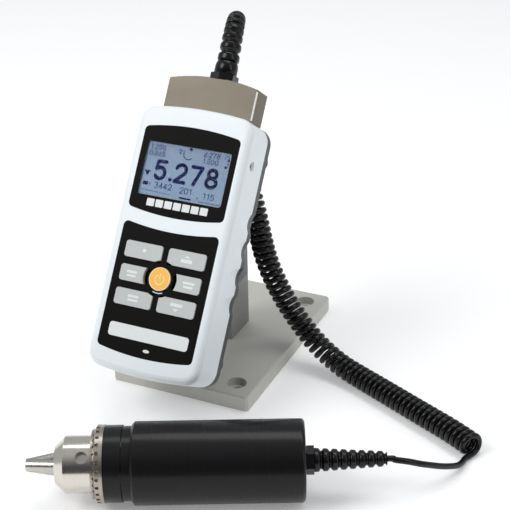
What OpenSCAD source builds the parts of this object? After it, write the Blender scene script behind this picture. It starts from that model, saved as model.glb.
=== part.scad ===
// Hand-held torque indicator on a small tilted stand, with a chuck torque
// sensor joined to it by a curly cord. Millimetres, Z up. The origin is the
// centre of the stand base's underside; X runs along the base's front edge
// and Y points to the rear.

/* [Stand] */
// Width of the base plate along X
base_w = 94; // [88:1:110]
// Depth of the base plate along Y
base_d = 136; // [130:1:150]
// Thickness of the base plate
base_t = 10.2; // [8:0.2:14]
// Chamfer on the base plate's upright corners and top rim
base_chamfer = 1.6; // [0.5:0.1:2.5]
// Distance of each fixing hole from the two nearest edges
base_hole_inset = 13; // [10:0.5:16]
// Diameter of the fixing holes
base_hole_d = 6.6; // [4.5:0.1:9]
// Diameter of the fixing holes' counterbore
base_cbore_d = 12.4; // [11:0.1:14]
// Depth of the fixing holes' counterbore
base_cbore_t = 5; // [3:0.5:6]
// Width of the post along X
post_w = 18.4; // [16:0.2:24]
// Depth of the post along Y
post_d = 26.6; // [24:0.2:32]
// Distance from the base centre forward to the post's front face
post_front = 10; // [8:0.5:14]
// Height of the post above the base
post_h = 36; // [30:1:42]
// Distance of the mounting plate's side edges inside the case's sides
plate_margin = 3.5; // [2:0.5:7]
// Height of the mounting plate along the case
plate_h = 60; // [54:1:61]
// Thickness of the mounting plate
plate_t = 3.5; // [2.5:0.1:5]
// Height of the bracket's seat on the plate
seat_h = 46; // [42:1:48]

/* [Case] */
// Width of the indicator case
case_w = 74; // [72:0.5:80]
// Height of the case's straight sides
case_h = 156; // [154:1:166]
// Outward bow of the case's two ends
case_bow = 3; // [2:0.1:4]
// Radius of the case's corners in front view
case_corner = 10; // [7:0.5:12]
// Round along the case's front rim
case_round = 4; // [2:0.5:5]
// Depth of the white front shell
shell_d = 26; // [25:0.5:30]
// Depth of the dark rear cover
cover_d = 7; // [6:0.5:9]
// Wall of both housings
case_wall = 3; // [2.6:0.1:3.4]
// Tilt of the case back from upright, in degrees
tilt = 33.6; // [28:0.2:38]
// Distance from the base centre forward to the case's face centre
case_forward = 71.3; // [70:0.1:74]
// Height of the case's face centre above the table
case_up = 109.3; // [107:0.1:118]
// Depth of the finger scallops in the side walls
scallop_depth = 2.2; // [1:0.1:2.2]
// Distance between finger scallops
scallop_pitch = 16.5; // [15.5:0.1:17]
// Radius of the finger scallops
scallop_r = 12; // [10:0.5:14]

/* [Face] */
// Distance of the two black panels inside the case's sides
side_margin = 5.65; // [5:0.05:6]
// Distance of the upper panel's top corners below the case's top corners
top_margin = 12.1; // [11:0.1:13]
// Distance of the lower panel's bottom corners above the case's bottom corners
bottom_margin = 11.4; // [11:0.1:13]
// Bow of the panels' curved edges
panel_bow = 3; // [2.5:0.1:3.5]
// Thickness of the panels
panel_t = 1; // [0.8:0.1:1.2]
// Corner radius of the panels
panel_corner = 3; // [2:0.5:4]
// Distance of the display window inside the upper panel's sides
window_margin = 3.85; // [3.4:0.05:6.3]
// Distance of the window below the upper panel's top corners
window_over = 8.35; // [7.9:0.05:9.5]
// Distance of the window above the upper panel's bottom corners
window_under = 7.95; // [7.6:0.05:9]
// Distance of the printed keys inside the lower panel's sides
key_margin = 4.95; // [4.5:0.05:6]
// Gap between the two columns of keys
key_gap = 4; // [3.6:0.1:5]
// Gap between two rows of keys
key_row_gap = 4.4; // [3.8:0.1:5.2]
// Distance of the top row of keys below the lower panel's top corners
key_top_margin = 11.8; // [11.2:0.1:12.7]
// Diameter of the power key
power_d = 13.8; // [12:0.1:14.4]
// How far a key stands proud of its panel
key_proud = 0.8; // [0.5:0.1:1.2]
// Key travel
key_travel = 0.5; // [0.3:0.1:0.6]

/* [Plug] */
// Distance of the plug's sides inside the case's sides
plug_margin = 7.5; // [6:0.25:10]
// Depth of the plug housing
plug_d = 16.5; // [15:0.5:17.5]
// Height of the plug's upper corners above the case's upper corners
plug_h = 21; // [18:0.5:24]
// Distance of the plug's front face behind the case's face
plug_back = 12; // [9:0.5:12]
// Bow of the plug's top
plug_bow = 3.7; // [3:0.1:4.5]
// Across-flats size of the cord glands
gland_af = 15; // [14:0.5:16]
// Sideways place of the plug's cord gland
gland_side = 2.5; // [0:0.5:4]
// Length of a strain relief's ribbed tail, measured along it
relief_l = 40; // [34:1:44]
// Number of ribs on a strain relief
relief_ribs = 8; // [6:1:9]

/* [Cord] */
// Diameter of the cord
cord_d = 3.6; // [3:0.1:3.6]
// Outer diameter of the coiled stretch
coil_d = 15; // [13:0.5:15]
// Number of curls
coil_curls = 58; // [50:1:58]

/* [Sensor] */
// Diameter of the sensor body
sensor_d = 46; // [44:0.5:50]
// Length of the sensor body
sensor_l = 94.6; // [90:0.5:105]
// Wall of the sensor housing tube
sensor_wall = 3; // [2.5:0.1:4]
// Place of the sensor body's front face along X
sensor_x = 24; // [20:1:28]
// Distance of that face in front of the base centre
sensor_forward = 167; // [160:1:175]
// Turn of the sensor about the upright axis, in degrees
sensor_yaw = 25; // [20:1:30]

/* [Chuck] */
// Diameter of the chuck body
chuck_d = 31.9; // [31:0.1:33]
// Diameter of the toothed sleeve
sleeve_d = 43; // [42.5:0.1:44.5]
// Number of teeth on the sleeve
sleeve_teeth = 28; // [24:1:32]
// Angle between each jaw and the chuck's axis
jaw_angle = 12.5; // [12:0.1:13]
// Diameter of a jaw rod
jaw_d = 6.6; // [6.2:0.1:6.8]
// Travel of each jaw along its own slope
jaw_travel = 15; // [10:0.5:15.5]
// Diameter of the key pilot holes
pilot_d = 6.8; // [5:0.1:7]

/* [Hidden] */
$fn = 64;

// Shared clearances: over is the overrun of every cut, sliver a thin slice
over = 1;
sliver = 0.02;
fit_gap = 0.3;
run_gap = 0.05;
// Points round the large bowed edges, and round a small blend
bow_fn = 240;
blend_fn = 32;

// Sizes that follow the case
case_top = case_h / 2;
panel_w = case_w - 2 * side_margin;
upper_top = case_top - top_margin;
lower_bottom = case_top - bottom_margin;
upper_bottom_share = 0.1109;
lower_top_share = 0.0564;
upper_bottom = case_h * upper_bottom_share;
lower_top = case_h * lower_top_share;
window_w = panel_w - 2 * window_margin;
window_h = upper_top - window_over - upper_bottom - window_under;
window_up = (upper_top - window_over + upper_bottom + window_under) / 2;
key_w = panel_w / 2 - key_margin - key_gap / 2;
key_side = (key_gap + key_w) / 2;
key_row_share = 0.1883;
key_row = (lower_top + lower_bottom) * key_row_share;
key_h = key_row - key_row_gap;
top_row_up = lower_top - key_top_margin - key_h / 2;
power_down = key_row - top_row_up;
plug_w = case_w - 2 * plug_margin;
plate_w = case_w - 2 * plate_margin;
foot_d = 11;
foot_h = 4.5;
foot_in = 5.5;
foot_drops = [18.5, 14];
foot_side = case_w / 2 - foot_in;
foot_up = [case_top - foot_drops[0], foot_drops[1] - case_top];
foot_clear = 1;
plate_up = foot_up[0] - foot_d / 2 - foot_clear - plate_h / 2;

// Colours
white_abs = [0.93, 0.95, 0.96];
dark_abs = [0.10, 0.11, 0.12];
panel_black = [0.05, 0.05, 0.06];
key_grey = [0.72, 0.74, 0.74];
stand_grey = [0.66, 0.68, 0.66];
bracket_grey = [0.30, 0.34, 0.37];
nickel = [0.58, 0.54, 0.46];
steel = [0.78, 0.77, 0.74];
black_rubber = [0.04, 0.04, 0.05];
black_metal = [0.06, 0.06, 0.07];
board_green = [0.10, 0.36, 0.20];

// Stand
rim_chamfer = 0.8;
column_screw_d = 5;
column_head_d = 8.4;
column_head_h = 4.6;
column_cbore_h = 5;
column_grip = 12;
column_inset = 5;
column_x = 0;
column_y = [-post_front + column_inset, post_d - post_front - column_inset];
bracket_rear_h = 46;
bracket_throat_h = 20;
plate_corner = 6;
back_w = shell_d + cover_d;
seat_w = back_w + plate_t;
seat_start = 8;
seat_low = plate_up - plate_h / 2 + seat_start;
seat_high = seat_low + seat_h;
plate_screw_d = 4;
plate_screw_head_d = 7.6;
plate_screw_head_h = 2.1;
plate_screw_l = 12;
plate_screw_inset = 10;
plate_screw_up = [seat_low + plate_screw_inset, seat_high - plate_screw_inset];
case_screw_d = 3.8;
case_screw_head_d = 7;
case_screw_head_h = 2.4;
case_screw_grip = 4;
case_screw_in = 9.5;
case_screw_side = plate_w / 2 - case_screw_in;
case_screw_step = 22;
case_screw_up = [plate_up - case_screw_step, plate_up + case_screw_step];
socket_share = 0.5;

// Case
cover_round = 2;
cover_wall = 2.5;
boss_d = 8;
boss_pilot_d = 2.6;
boss_in = 13;
boss_drop = 9;
boss_side = case_w / 2 - boss_in;
boss_up = case_top - boss_drop;
boss_pilot_l = 12;
screw_clear_d = 3.2;
screw_head_d = 5.6;
screw_head_h = 2;
screw_d = 2.5;
screw_bite = 8;
lean = 6;
scallop_count = 4;
scallop_mid = -3;
recess_d = 6;
recess_w = 10.1;
recess_drop = 24.6;
recess_up = case_top - recess_drop;
set_screw_d = 5;
set_screw_l = 4.8;
set_screw_sunk = 1.2;
post_in = 6.5;
post_side = case_w / 2 - post_in;
post_shares = [0.077, -0.3333];
post_ups = [case_h * post_shares[0], case_h * post_shares[1]];
board_post_d = 4.4;
key_post_d = 3.6;
key_post_in = 6.35;
key_post_side = panel_w / 2 - key_post_in;

// Boards and what sits on them
board_t = 1.6;
main_w = 16;
main_in = 5;
main_boss_gap = 1;
main_foot = 18;
main_half = case_w / 2 - main_in;
main_top = boss_up - boss_d / 2 - main_boss_gap;
main_bottom = main_foot - case_top;
battery_in = 12;
battery_share = 0.5645;
battery_drop = 17;
battery_w = case_w - 2 * battery_in;
battery_h = (main_top - main_bottom) * battery_share;
battery_t = 9;
battery_mid = (main_top + main_bottom) / 2 - battery_drop;
keypad_w = 6;
dome_d = 6;
dome_h = 0.7;
lcd_w = 1.5;
lcd_t = 2.5;
lcd_frame_t = 5;
lcd_frame_lip = 3;
lcd_frame_wall = 2;
opening_margin = 1;
window_corner = 1.6;
flange_out = 0.8;
flange_t = 1.2;
plunger_d = 4;
socket_half = 16;
socket_w = [15, 26];
socket_wall = 1.6;
socket_depth = 9;
insert_clear = 0.4;
port_in = 12;
io_half = 15.5;
io_mid = -22;
io_pitch = 4.8;
usb_half = 4;
usb_mid = 2;
jack_half = 4;
jack_mid = -45.5;
port_w = [8, main_w];
usb_w = [12, main_w];
port_lip = 0.6;

// Key places as [side, height, has a full width]
row_up = [top_row_up, -power_down, -power_down - key_row];
keypad_in = 3.85;
keypad_edge = 5.8;
key_post_edge = 2.5;
keypad_half = panel_w / 2 - keypad_in;
keypad_top = lower_top - keypad_edge;
keypad_bottom = row_up[2] - key_h / 2 - keypad_edge;
key_post_ups = [keypad_top - key_post_edge, keypad_bottom + key_post_edge];
key_corner = 1.2;
power_clear = 1.9;
power_rim = 0.9;

// Plug and glands
plug_bottom_gap = fit_gap;
plug_wall = 3;
plug_chamfer = 1.2;
plug_top = case_top + plug_h;
gland_hex_h = 4.5;
gland_collar_h = 1.2;
dome_nut_h = 8.5;
dome_nut_d = 14;
relief_root_d = 13.4;
relief_tip_d = 10.8;
relief_groove = 1.5;
relief_share = 0.6;
relief_stop_shares = [0, 0.55, 0.65, 0.95];
nut_share = 0.5;
tail_sunk = 1;
relief_sides = 16;
gland_w = plug_back + plug_d / 2;
gland_drop = 0.5;
gland_up = plug_top + plug_bow - gland_drop;
// The plug relief bends back: the bend's handle and its end, from its root
relief_handle = [-1.5, 0.7, 30];
relief_end = [-8.5, 17.5, 30];

// Cord. Route points are in millimetres in the part's frame
cord_r = cord_d / 2;
lead_sides = 8;
curl_rings = 8;
curl_sides = 6;
curl_start = 1.5;
frame_ref = [0.5, 0.85, 0];
top_route = [[-8.5, 48.5, 209.5], [-12.5, 55, 202], [-16, 59, 192], [-18.5, 60.5, 181],
    [-19.5, 59.5, 170], [-18, 55.5, 159.5], [-14, 49, 150], [-8, 40.5, 142],
    [-1, 31.5, 139.5], [4, 22, 138.5], [8, 13, 137], [10.5, 8, 133.8], [11.7, 5.9, 129.8]];
coil_route = [[13, 5.2, 126], [17.6, 3, 115.5], [21.4, 1.4, 104.8], [24.4, 0.4, 94], [27, 0, 83],
    [30, 0, 71], [35.2, -0.2, 58], [43.6, -0.8, 43.5], [55, -2, 29], [68.5, -4.6, 17],
    [85, -9.3, 9.6], [101.5, -15.6, 7.6], [118, -23.3, 7.5], [145.4, -36.4, 7.5], [169.2, -47.8, 7.5],
    [185.5, -57, 7.5]];
sensor_route = [[182.5, -66.5, 1.8], [181.5, -72.5, 3.2], [179, -79, 6.2],
    [175.5, -86, 10], [171.5, -92.5, 14], [167, -98.5, 17.8], [161.5, -103, 20.8],
    [155, -106.4, 22.4]];

// Sensor stations along its axis from the body's front face, to the rear
cap_t = 4.6;
cap_round = 2.2;
spigot_l = 6;
spigot_gap = 0.1;
neck_l = 4.9;
neck_d = 41;
neck_wall = 2.7;
front_chamfer = 1.4;
hub_d = 28;
hub_l = 25;
shaft_d = 12;
bearing_d = 20;
bearing_l = 5;
bearing_at = [1, 18];
gauge_d = 9;
gauge_shares = [0.317, 0.53];
gauge_at = [sensor_l * gauge_shares[0], sensor_l * gauge_shares[1]];
anchor_shares = [0.655, 0.74];
anchor_at = [sensor_l * anchor_shares[0], sensor_l * anchor_shares[1]];
anchor_lead = 2;
standoff_d = 5;
standoff_side = 12;
standoff_h = 4;
gauge_board_d = 36;
cap_screw_count = 3;
cap_screw_side = 17.5;
cap_screw_d = 3;
cap_screw_head_d = 5.5;
cap_screw_head_h = 2.6;
cap_screw_grip = 5;
sensor_hex_af = 14;
sensor_hex_h = 5;
sensor_relief_root_d = 13.4;
sensor_relief_tip_d = 8.4;
gland_thread_d = 10;

// Chuck stations, also from the sensor body's front face
chuck_rear = -0.3;
tip_at = -58.6;
nose_at = -42.1;
nose_d = 21.9;
shoulder_at = -36.7;
sleeve_front = -21.6;
sleeve_lip = 0.9;
sleeve_band = 6.8;
sleeve_rear = -5.2;
bevel_l = 2.6;
bevel_d = 33.4;
tooth_d = 2;
tooth_reach = 1.1;
grip_t = 2.4;
grip_drop = 0.3;
bearing_face_d = 34.8;
nut_l = 4.2;
nut_start = sleeve_front + sleeve_lip;
nut_side_gap = 0.3;
core_d = 23;
jaw_offset = 0.2;
jaw_rear = -18.4;
jaw_part_gap = 0.3;
jaw_least = 0.5;
throat_d = 9.8;
throat_end = -24;
spigot_d = 9.5;
spigot_end = -14;
pilot_at = -26.6;
pilot_depth = 4;
jaw_turns = [242, 122, 2];
pilot_turns = [221, 101, 341];

// Vector helpers for swept tubes
function unit(v) = v / norm(v);
function along(p, i) = unit(p[min(i + 1, len(p) - 1)] - p[max(i - 1, 0)]);
function across(t) = unit(frame_ref - (frame_ref * t) * t);
function ring(c, t, r, sides) = [for (k = [0 : sides - 1])
    c + r * (cos(360 * k / sides) * across(t) + sin(360 * k / sides) * cross(t, across(t)))];
function curve_point(p, i, f) = let(
    a = p[max(i - 1, 0)], b = p[i], c = p[i + 1], d = p[min(i + 2, len(p) - 1)])
    0.5 * (2 * b + (c - a) * f + (2 * a - 5 * b + 4 * c - d) * f * f
        + (3 * b - a - 3 * c + d) * f * f * f);
function smooth(p, steps) = [
    for (i = [0 : len(p) - 2]) for (k = [0 : steps - 1]) curve_point(p, i, k / steps),
    p[len(p) - 1]];
function distances(p) = [for (i = 0, s = 0; i < len(p);
    s = s + (i < len(p) - 1 ? norm(p[i + 1] - p[i]) : 0), i = i + 1) s];

// A closed tube through points, with one radius and, where given, one way for each point
module tube(p, radii, sides, ways = undef) {
    n = len(p);
    rings = [for (i = [0 : n - 1])
        each ring(p[i], is_undef(ways) ? along(p, i) : ways[i], radii[i], sides)];
    skin = [for (i = [0 : n - 2]) for (k = [0 : sides - 1]) let(
        a = i * sides + k, b = i * sides + (k + 1) % sides) each
        [[a, a + sides, b], [b, a + sides, b + sides]]];
    caps = [for (k = [1 : sides - 2]) each
        [[0, k, k + 1], [(n - 1) * sides, (n - 1) * sides + k + 1, (n - 1) * sides + k]]];
    polyhedron([for (q = rings) q], concat(skin, caps));
}

// Places children drawn in the case's own frame: X across, Y into the case, Z up the case
module case_frame()
    translate([0, -case_forward, case_up]) rotate([-tilt, 0, 0]) children();

function from_case(p) = [p.x,
    p.y * cos(tilt) + p.z * sin(tilt) - case_forward,
    -p.y * sin(tilt) + p.z * cos(tilt) + case_up];

// Places children drawn along Z from the sensor body's front face to the rear
module sensor_frame()
    translate([sensor_x, -sensor_forward, sensor_d / 2])
        rotate([0, 0, sensor_yaw]) rotate([0, 90, 0]) children();

function from_sensor(at) = [sensor_x + at * cos(sensor_yaw),
    -sensor_forward + at * sin(sensor_yaw), sensor_d / 2];

// Extrudes a front-view outline from one depth to another
module slab(from, to)
    translate([0, to, 0]) rotate([90, 0, 0]) linear_extrude(to - from) children();

// Outline with straight sides and ends bowed outward
module bowed(w, top, bottom, bow) {
    r = (w * w / 4 + bow * bow) / (2 * bow);
    intersection() {
        translate([-w / 2, bottom - bow]) square([w, top - bottom + 2 * bow]);
        translate([0, top + bow - r]) circle(r, $fn = bow_fn * 2);
        translate([0, bottom - bow + r]) circle(r, $fn = bow_fn * 2);
    }
}

module rounded(r) offset(r, $fn = blend_fn) offset(-r) children();

module case_outline(inset)
    offset(delta = -inset) rounded(case_corner) bowed(case_w, case_top, -case_top, case_bow);

module rounded_rect(w, h, r) rounded(r) square([w, h], center = true);

// Case body between two depths, with one rounded rim
module rimmed(from, to, r, front_rim) {
    steps = 4;
    hull() {
        for (k = [0 : steps - 1]) {
            in = r * (1 - sin(90 * k / steps));
            deep = r * (1 - cos(90 * k / steps));
            at = front_rim ? from + deep : to - deep - sliver;
            slab(at, at + sliver) case_outline(in);
        }
        slab(front_rim ? from + r : from, front_rim ? to : to - r) case_outline(0);
    }
}

// Grooves for the fingers along both sides, running out toward the face
module finger_scallops()
    for (s = [-1, 1], k = [0 : scallop_count - 1])
        translate([s * (case_w / 2 + scallop_r - scallop_depth), back_w,
            scallop_mid + (k - (scallop_count - 1) / 2) * scallop_pitch])
            rotate([90, 0, s * lean])
                cylinder(h = 2 * back_w, r = scallop_r, center = true);

// Keys
module key_outline(side, row) {
    difference() {
        translate([side * key_side, row_up[row]]) square([key_w, key_h], center = true);
        translate([0, -power_down]) circle(d = power_d + 2 * power_clear);
    }
}

module key_place(side, row, grow)
    offset(grow, $fn = blend_fn) rounded(key_corner) key_outline(side, row);

module power_place(grow)
    translate([0, -power_down]) circle(d = power_d + 2 * grow);

module key(side, row) case_frame() {
    slab(-key_proud, panel_t) key_place(side, row, 0);
    slab(panel_t, panel_t + flange_t) key_place(side, row, flange_out);
    key_plunger(side * (row == 1 ? key_side + plunger_d : key_side), row_up[row]);
}

module key_plunger(side, up)
    translate([side, panel_t + flange_t, up]) rotate([-90, 0, 0])
        cylinder(h = keypad_w - dome_h - key_travel - run_gap - panel_t - flange_t,
            d = plunger_d);

key_sides = [-1, 1, -1, 1, -1, 1];
key_rows = [0, 0, 1, 1, 2, 2];
plunger_places = concat([[0, -power_down]], [for (i = [0 : len(key_sides) - 1])
    [key_sides[i] * (key_rows[i] == 1 ? key_side + plunger_d : key_side),
        row_up[key_rows[i]]]]);

module all_keys(grow) {
    for (i = [0 : len(key_sides) - 1]) key_place(key_sides[i], key_rows[i], grow);
    power_place(grow);
}

module upper_outline(grow)
    offset(delta = grow) rounded(panel_corner)
        bowed(panel_w, upper_top, upper_bottom, panel_bow);

module lower_outline(grow) {
    r = (panel_w * panel_w / 4 + panel_bow * panel_bow) / (2 * panel_bow);
    offset(delta = grow) rounded(panel_corner) difference() {
        bowed(panel_w, lower_top, -lower_bottom, panel_bow);
        translate([0, lower_top - panel_bow + r]) circle(r, $fn = bow_fn * 2);
    }
}

// Front shell of the case
module front_shell() color(white_abs) case_frame() {
    difference() {
        rimmed(0, shell_d, case_round, true);
        slab(case_wall, shell_d + over) case_outline(case_wall);
        slab(-over, panel_t) {
            upper_outline(run_gap);
            lower_outline(run_gap);
        }
        slab(-over, case_wall + over) {
            translate([0, window_up])
                square([window_w + 2 * opening_margin, window_h + 2 * opening_margin],
                    center = true);
            all_keys(flange_out + fit_gap);
        }
        finger_scallops();
        translate([-socket_half - fit_gap, socket_w[0] - fit_gap, case_top - 2 * case_wall])
            cube([2 * (socket_half + fit_gap), socket_w[1] - socket_w[0] + 2 * fit_gap,
                4 * case_wall]);
        for (s = [-1, 1]) translate([s * case_w / 2, recess_w, recess_up])
            rotate([0, 90, 0]) cylinder(h = 4 * case_wall, d = set_screw_d + 2 * run_gap,
                center = true);
        for (s = [-1, 1]) translate([s * case_w / 2, recess_w, recess_up])
            rotate([0, 90, 0]) cylinder(h = 2 * set_screw_sunk, d = recess_d, center = true);
        port_cut(io_mid, io_half, port_w);
        port_cut(usb_mid, usb_half, usb_w);
        port_cut(jack_mid, jack_half, port_w);
    }
    difference() {
        for (s = [-1, 1], t = [-1, 1]) translate([s * boss_side, case_wall - sliver, t * boss_up])
            rotate([-90, 0, 0]) cylinder(h = shell_d - case_wall + sliver, d = boss_d);
        for (s = [-1, 1], t = [-1, 1])
            translate([s * boss_side, shell_d - boss_pilot_l, t * boss_up])
                rotate([-90, 0, 0]) cylinder(h = boss_pilot_l + over, d = boss_pilot_d);
    }
    for (s = [-1, 1], up = post_ups) translate([s * post_side, case_wall - sliver, up])
        rotate([-90, 0, 0]) cylinder(h = main_w - case_wall + sliver, d = board_post_d);
    for (s = [-1, 1], up = key_post_ups) translate([s * key_post_side, case_wall - sliver, up])
        rotate([-90, 0, 0]) cylinder(h = keypad_w - case_wall + sliver, d = key_post_d);
}

module port_cut(mid, half, depths)
    translate([-case_w / 2 - over, depths[0] - run_gap, mid - half - run_gap])
        cube([case_wall + 2 * over, depths[1] - depths[0] + 2 * run_gap,
            2 * half + 2 * run_gap]);

// Rear cover
module rear_cover() color(dark_abs) case_frame() difference() {
    union() {
        difference() {
            rimmed(shell_d, back_w, cover_round, false);
            slab(shell_d - over, back_w - cover_wall) case_outline(case_wall);
        }
        for (s = [-1, 1], t = [-1, 1]) translate([s * boss_side, shell_d, t * boss_up])
            rotate([-90, 0, 0]) cylinder(h = cover_d - cover_wall + sliver, d = boss_d);
        for (s = [-1, 1], up = case_screw_up)
            translate([s * case_screw_side, back_w - case_screw_grip - case_wall / 2, up])
                rotate([-90, 0, 0])
                    cylinder(h = case_screw_grip + case_wall / 2 - cover_wall + sliver,
                        d = boss_d);
    }
    finger_scallops();
    for (s = [-1, 1], t = [-1, 1]) translate([s * boss_side, shell_d - over, t * boss_up])
        rotate([-90, 0, 0]) {
            cylinder(h = cover_d + 2 * over, d = screw_clear_d);
            translate([0, 0, over + cover_d - screw_head_h - fit_gap])
                cylinder(h = screw_head_h + fit_gap + over, d = screw_head_d + 2 * run_gap);
        }
    for (s = [-1, 1], up = case_screw_up)
        translate([s * case_screw_side, back_w - case_screw_grip, up])
            rotate([-90, 0, 0]) cylinder(h = case_screw_grip + over,
                d = case_screw_d + 2 * run_gap);
}

// A cap screw with a hexagon socket: the head's top is at 0 and the shank runs to +Z
module cap_screw(head_d, head_h, shank_d, shank_l) difference() {
    union() {
        cylinder(h = head_h, d = head_d);
        translate([0, 0, head_h - sliver]) cylinder(h = shank_l + sliver, d = shank_d);
    }
    translate([0, 0, -over]) cylinder(h = over + head_h * socket_share,
        d = head_d * socket_share, $fn = 6);
}

module housing_screws() color(steel) case_frame()
    for (s = [-1, 1], t = [-1, 1]) translate([s * boss_side, back_w - fit_gap, t * boss_up])
        rotate([90, 0, 0])
            cap_screw(screw_head_d, screw_head_h, screw_d, cover_d - screw_head_h + screw_bite);

module retaining_screws() color(steel) case_frame()
    for (s = [-1, 1]) translate([s * (case_w / 2 - set_screw_sunk), recess_w, recess_up])
        rotate([0, -90 * s, 0]) difference() {
            cylinder(h = set_screw_l, d = set_screw_d);
            translate([0, 0, -over]) cylinder(h = over + set_screw_d * socket_share,
                d = set_screw_d * socket_share, $fn = 6);
        }

module rubber_feet() color([0.8, 0.82, 0.84]) case_frame() {
    r = (foot_d * foot_d / 4 + foot_h * foot_h) / (2 * foot_h);
    for (s = [-1, 1], up = foot_up) translate([s * foot_side, back_w, up])
        rotate([-90, 0, 0]) rotate_extrude() intersection() {
            translate([0, foot_h - r]) circle(r);
            square([foot_d, foot_h]);
        }
}

// Face panels
module upper_bezel() color(panel_black) case_frame() slab(0, panel_t) difference() {
    upper_outline(0);
    translate([0, window_up]) rounded_rect(window_w, window_h, window_corner);
}

module display_window() color([0.6, 0.75, 0.9, 0.4]) case_frame()
    slab(sliver, panel_t) translate([0, window_up])
        rounded_rect(window_w - 2 * run_gap, window_h - 2 * run_gap, window_corner);

module lcd_screen() color([0.45, 0.62, 0.85]) case_frame()
    slab(lcd_w, lcd_w + lcd_t) translate([0, window_up])
        square([window_w + opening_margin, window_h + opening_margin], center = true);

module lcd_frame() color([0.6, 0.6, 0.62]) case_frame() {
    slab(lcd_w + lcd_t, lcd_w + lcd_t + lcd_frame_t) translate([0, window_up])
        square([window_w + 2 * lcd_frame_lip, window_h + 3 * lcd_frame_lip], center = true);
    for (s = [-1, 1], t = [-1, 1])
        translate([s * (window_w / 2 + lcd_frame_lip - 2 * lcd_frame_wall),
            lcd_w + lcd_t + lcd_frame_t,
            window_up + t * (window_h / 2 + lcd_frame_lip - lcd_frame_wall)])
            rotate([-90, 0, 0])
                cylinder(h = main_w - lcd_w - lcd_t - lcd_frame_t, r = lcd_frame_wall);
}

module keypad_overlay() color(panel_black) case_frame() slab(0, panel_t) difference() {
    lower_outline(0);
    all_keys(fit_gap);
}

module key_power() color([0.95, 0.55, 0.12]) case_frame() {
    slab(-key_proud, panel_t) power_place(0);
    slab(panel_t, panel_t + flange_t) power_place(flange_out);
    key_plunger(0, -power_down);
}
module key_top_left() color(key_grey) key(-1, 0);
module key_top_right() color(key_grey) key(1, 0);
module key_mid_left() color(key_grey) key(-1, 1);
module key_mid_right() color(key_grey) key(1, 1);
module key_low_left() color(key_grey) key(-1, 2);
module key_low_right() color(key_grey) key(1, 2);

module key_domes() color([0.75, 0.76, 0.78]) case_frame() {
    r = (dome_d * dome_d / 4 + dome_h * dome_h) / (2 * dome_h);
    for (q = plunger_places) translate([q.x, keypad_w, q.y]) rotate([90, 0, 0])
        rotate_extrude() intersection() {
            translate([0, dome_h - r]) circle(r, $fn = bow_fn);
            square([dome_d, dome_h]);
        }
}

// Inner parts
module keypad_board() color(board_green) case_frame()
    translate([-keypad_half, keypad_w, keypad_bottom])
        cube([2 * keypad_half, board_t, keypad_top - keypad_bottom]);

module main_board() color(board_green) case_frame()
    translate([-main_half, main_w, main_bottom])
        cube([2 * main_half, board_t, main_top - main_bottom]);

module battery_pack() color([0.15, 0.25, 0.45]) case_frame()
    translate([-battery_w / 2, main_w + board_t, battery_mid - battery_h / 2])
        cube([battery_w, battery_t, battery_h]);

module sensor_receptacle() color(black_metal) case_frame() difference() {
    translate([-socket_half, socket_w[0], main_top])
        cube([2 * socket_half, socket_w[1] - socket_w[0], case_top - main_top]);
    translate([-socket_half + socket_wall, socket_w[0] + socket_wall, case_top - socket_depth])
        cube([2 * (socket_half - socket_wall), socket_w[1] - socket_w[0] - 2 * socket_wall,
            socket_depth + over]);
}

module port_block(mid, half, depths, lip) difference() {
    translate([-case_w / 2 + lip, depths[0], mid - half])
        cube([port_in, depths[1] - depths[0], 2 * half]);
    children();
}

module io_port() color(steel) case_frame() port_block(io_mid, io_half, port_w, port_lip)
    translate([-case_w / 2, (port_w[0] + port_w[1]) / 2, io_mid])
        for (row = [-1, 0, 1], k = [-2 : 2])
            translate([0, row * io_half / 8, (k + row / 4) * io_pitch])
                rotate([0, 90, 0]) cylinder(h = port_in / 2, d = board_t, $fn = 16);

module usb_port() color(steel) case_frame() port_block(usb_mid, usb_half, usb_w, port_lip)
    translate([-case_w / 2, usb_w[0] + port_lip, usb_mid - usb_half + port_lip])
        cube([port_in / 2, usb_w[1] - usb_w[0] - 2 * port_lip, 2 * (usb_half - port_lip)]);

module power_jack() color(dark_abs) case_frame()
    port_block(jack_mid, jack_half, port_w, port_lip)
        translate([-case_w / 2, (port_w[0] + port_w[1]) / 2, jack_mid]) rotate([0, 90, 0])
            difference() {
                cylinder(h = port_in / 2, r = jack_half * 2 / 3);
                cylinder(h = port_in, r = jack_half / 5, $fn = 16);
            }

// Plug
module plug_outline() difference() {
    bowed(plug_w, plug_top, case_top - case_bow, plug_bow);
    offset(delta = plug_bottom_gap) bowed(case_w, case_top, -case_top, case_bow);
}

module plug_housing() color(nickel) case_frame() difference() {
    slab(plug_back, plug_back + plug_d) plug_outline();
    slab(plug_back + plug_wall, plug_back + plug_d - plug_wall) difference() {
        offset(delta = -plug_wall) plug_outline();
        translate([-plug_w / 2, plug_top - plug_wall]) square([plug_w, plug_h]);
    }
    translate([-socket_half, plug_back + plug_wall, case_top - case_bow])
        cube([2 * socket_half, plug_d - 2 * plug_wall, plug_h / 2]);
    translate([gland_side, gland_w, plug_top - 2 * plug_wall])
        cylinder(h = plug_h, d = gland_thread_d + 2 * run_gap);
    translate([gland_side, gland_w, gland_up]) cylinder(h = plug_h, d = gland_af * 4 / 3);
    for (s = [-1, 1], d = [0, 1])
        translate([s * plug_w / 2, plug_back + d * plug_d, case_top]) rotate([0, 0, 45])
            cube([plug_chamfer, plug_chamfer, 4 * plug_h], center = true);
}

module plug_insert() color(black_metal) case_frame() {
    half = socket_half - socket_wall - insert_clear;
    front = socket_w[0] + socket_wall + insert_clear;
    back = socket_w[1] - socket_wall - insert_clear;
    translate([-half, front, case_top - socket_depth + insert_clear])
        cube([2 * half, back - front, socket_depth + case_bow + 2 * plug_wall]);
}

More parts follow.
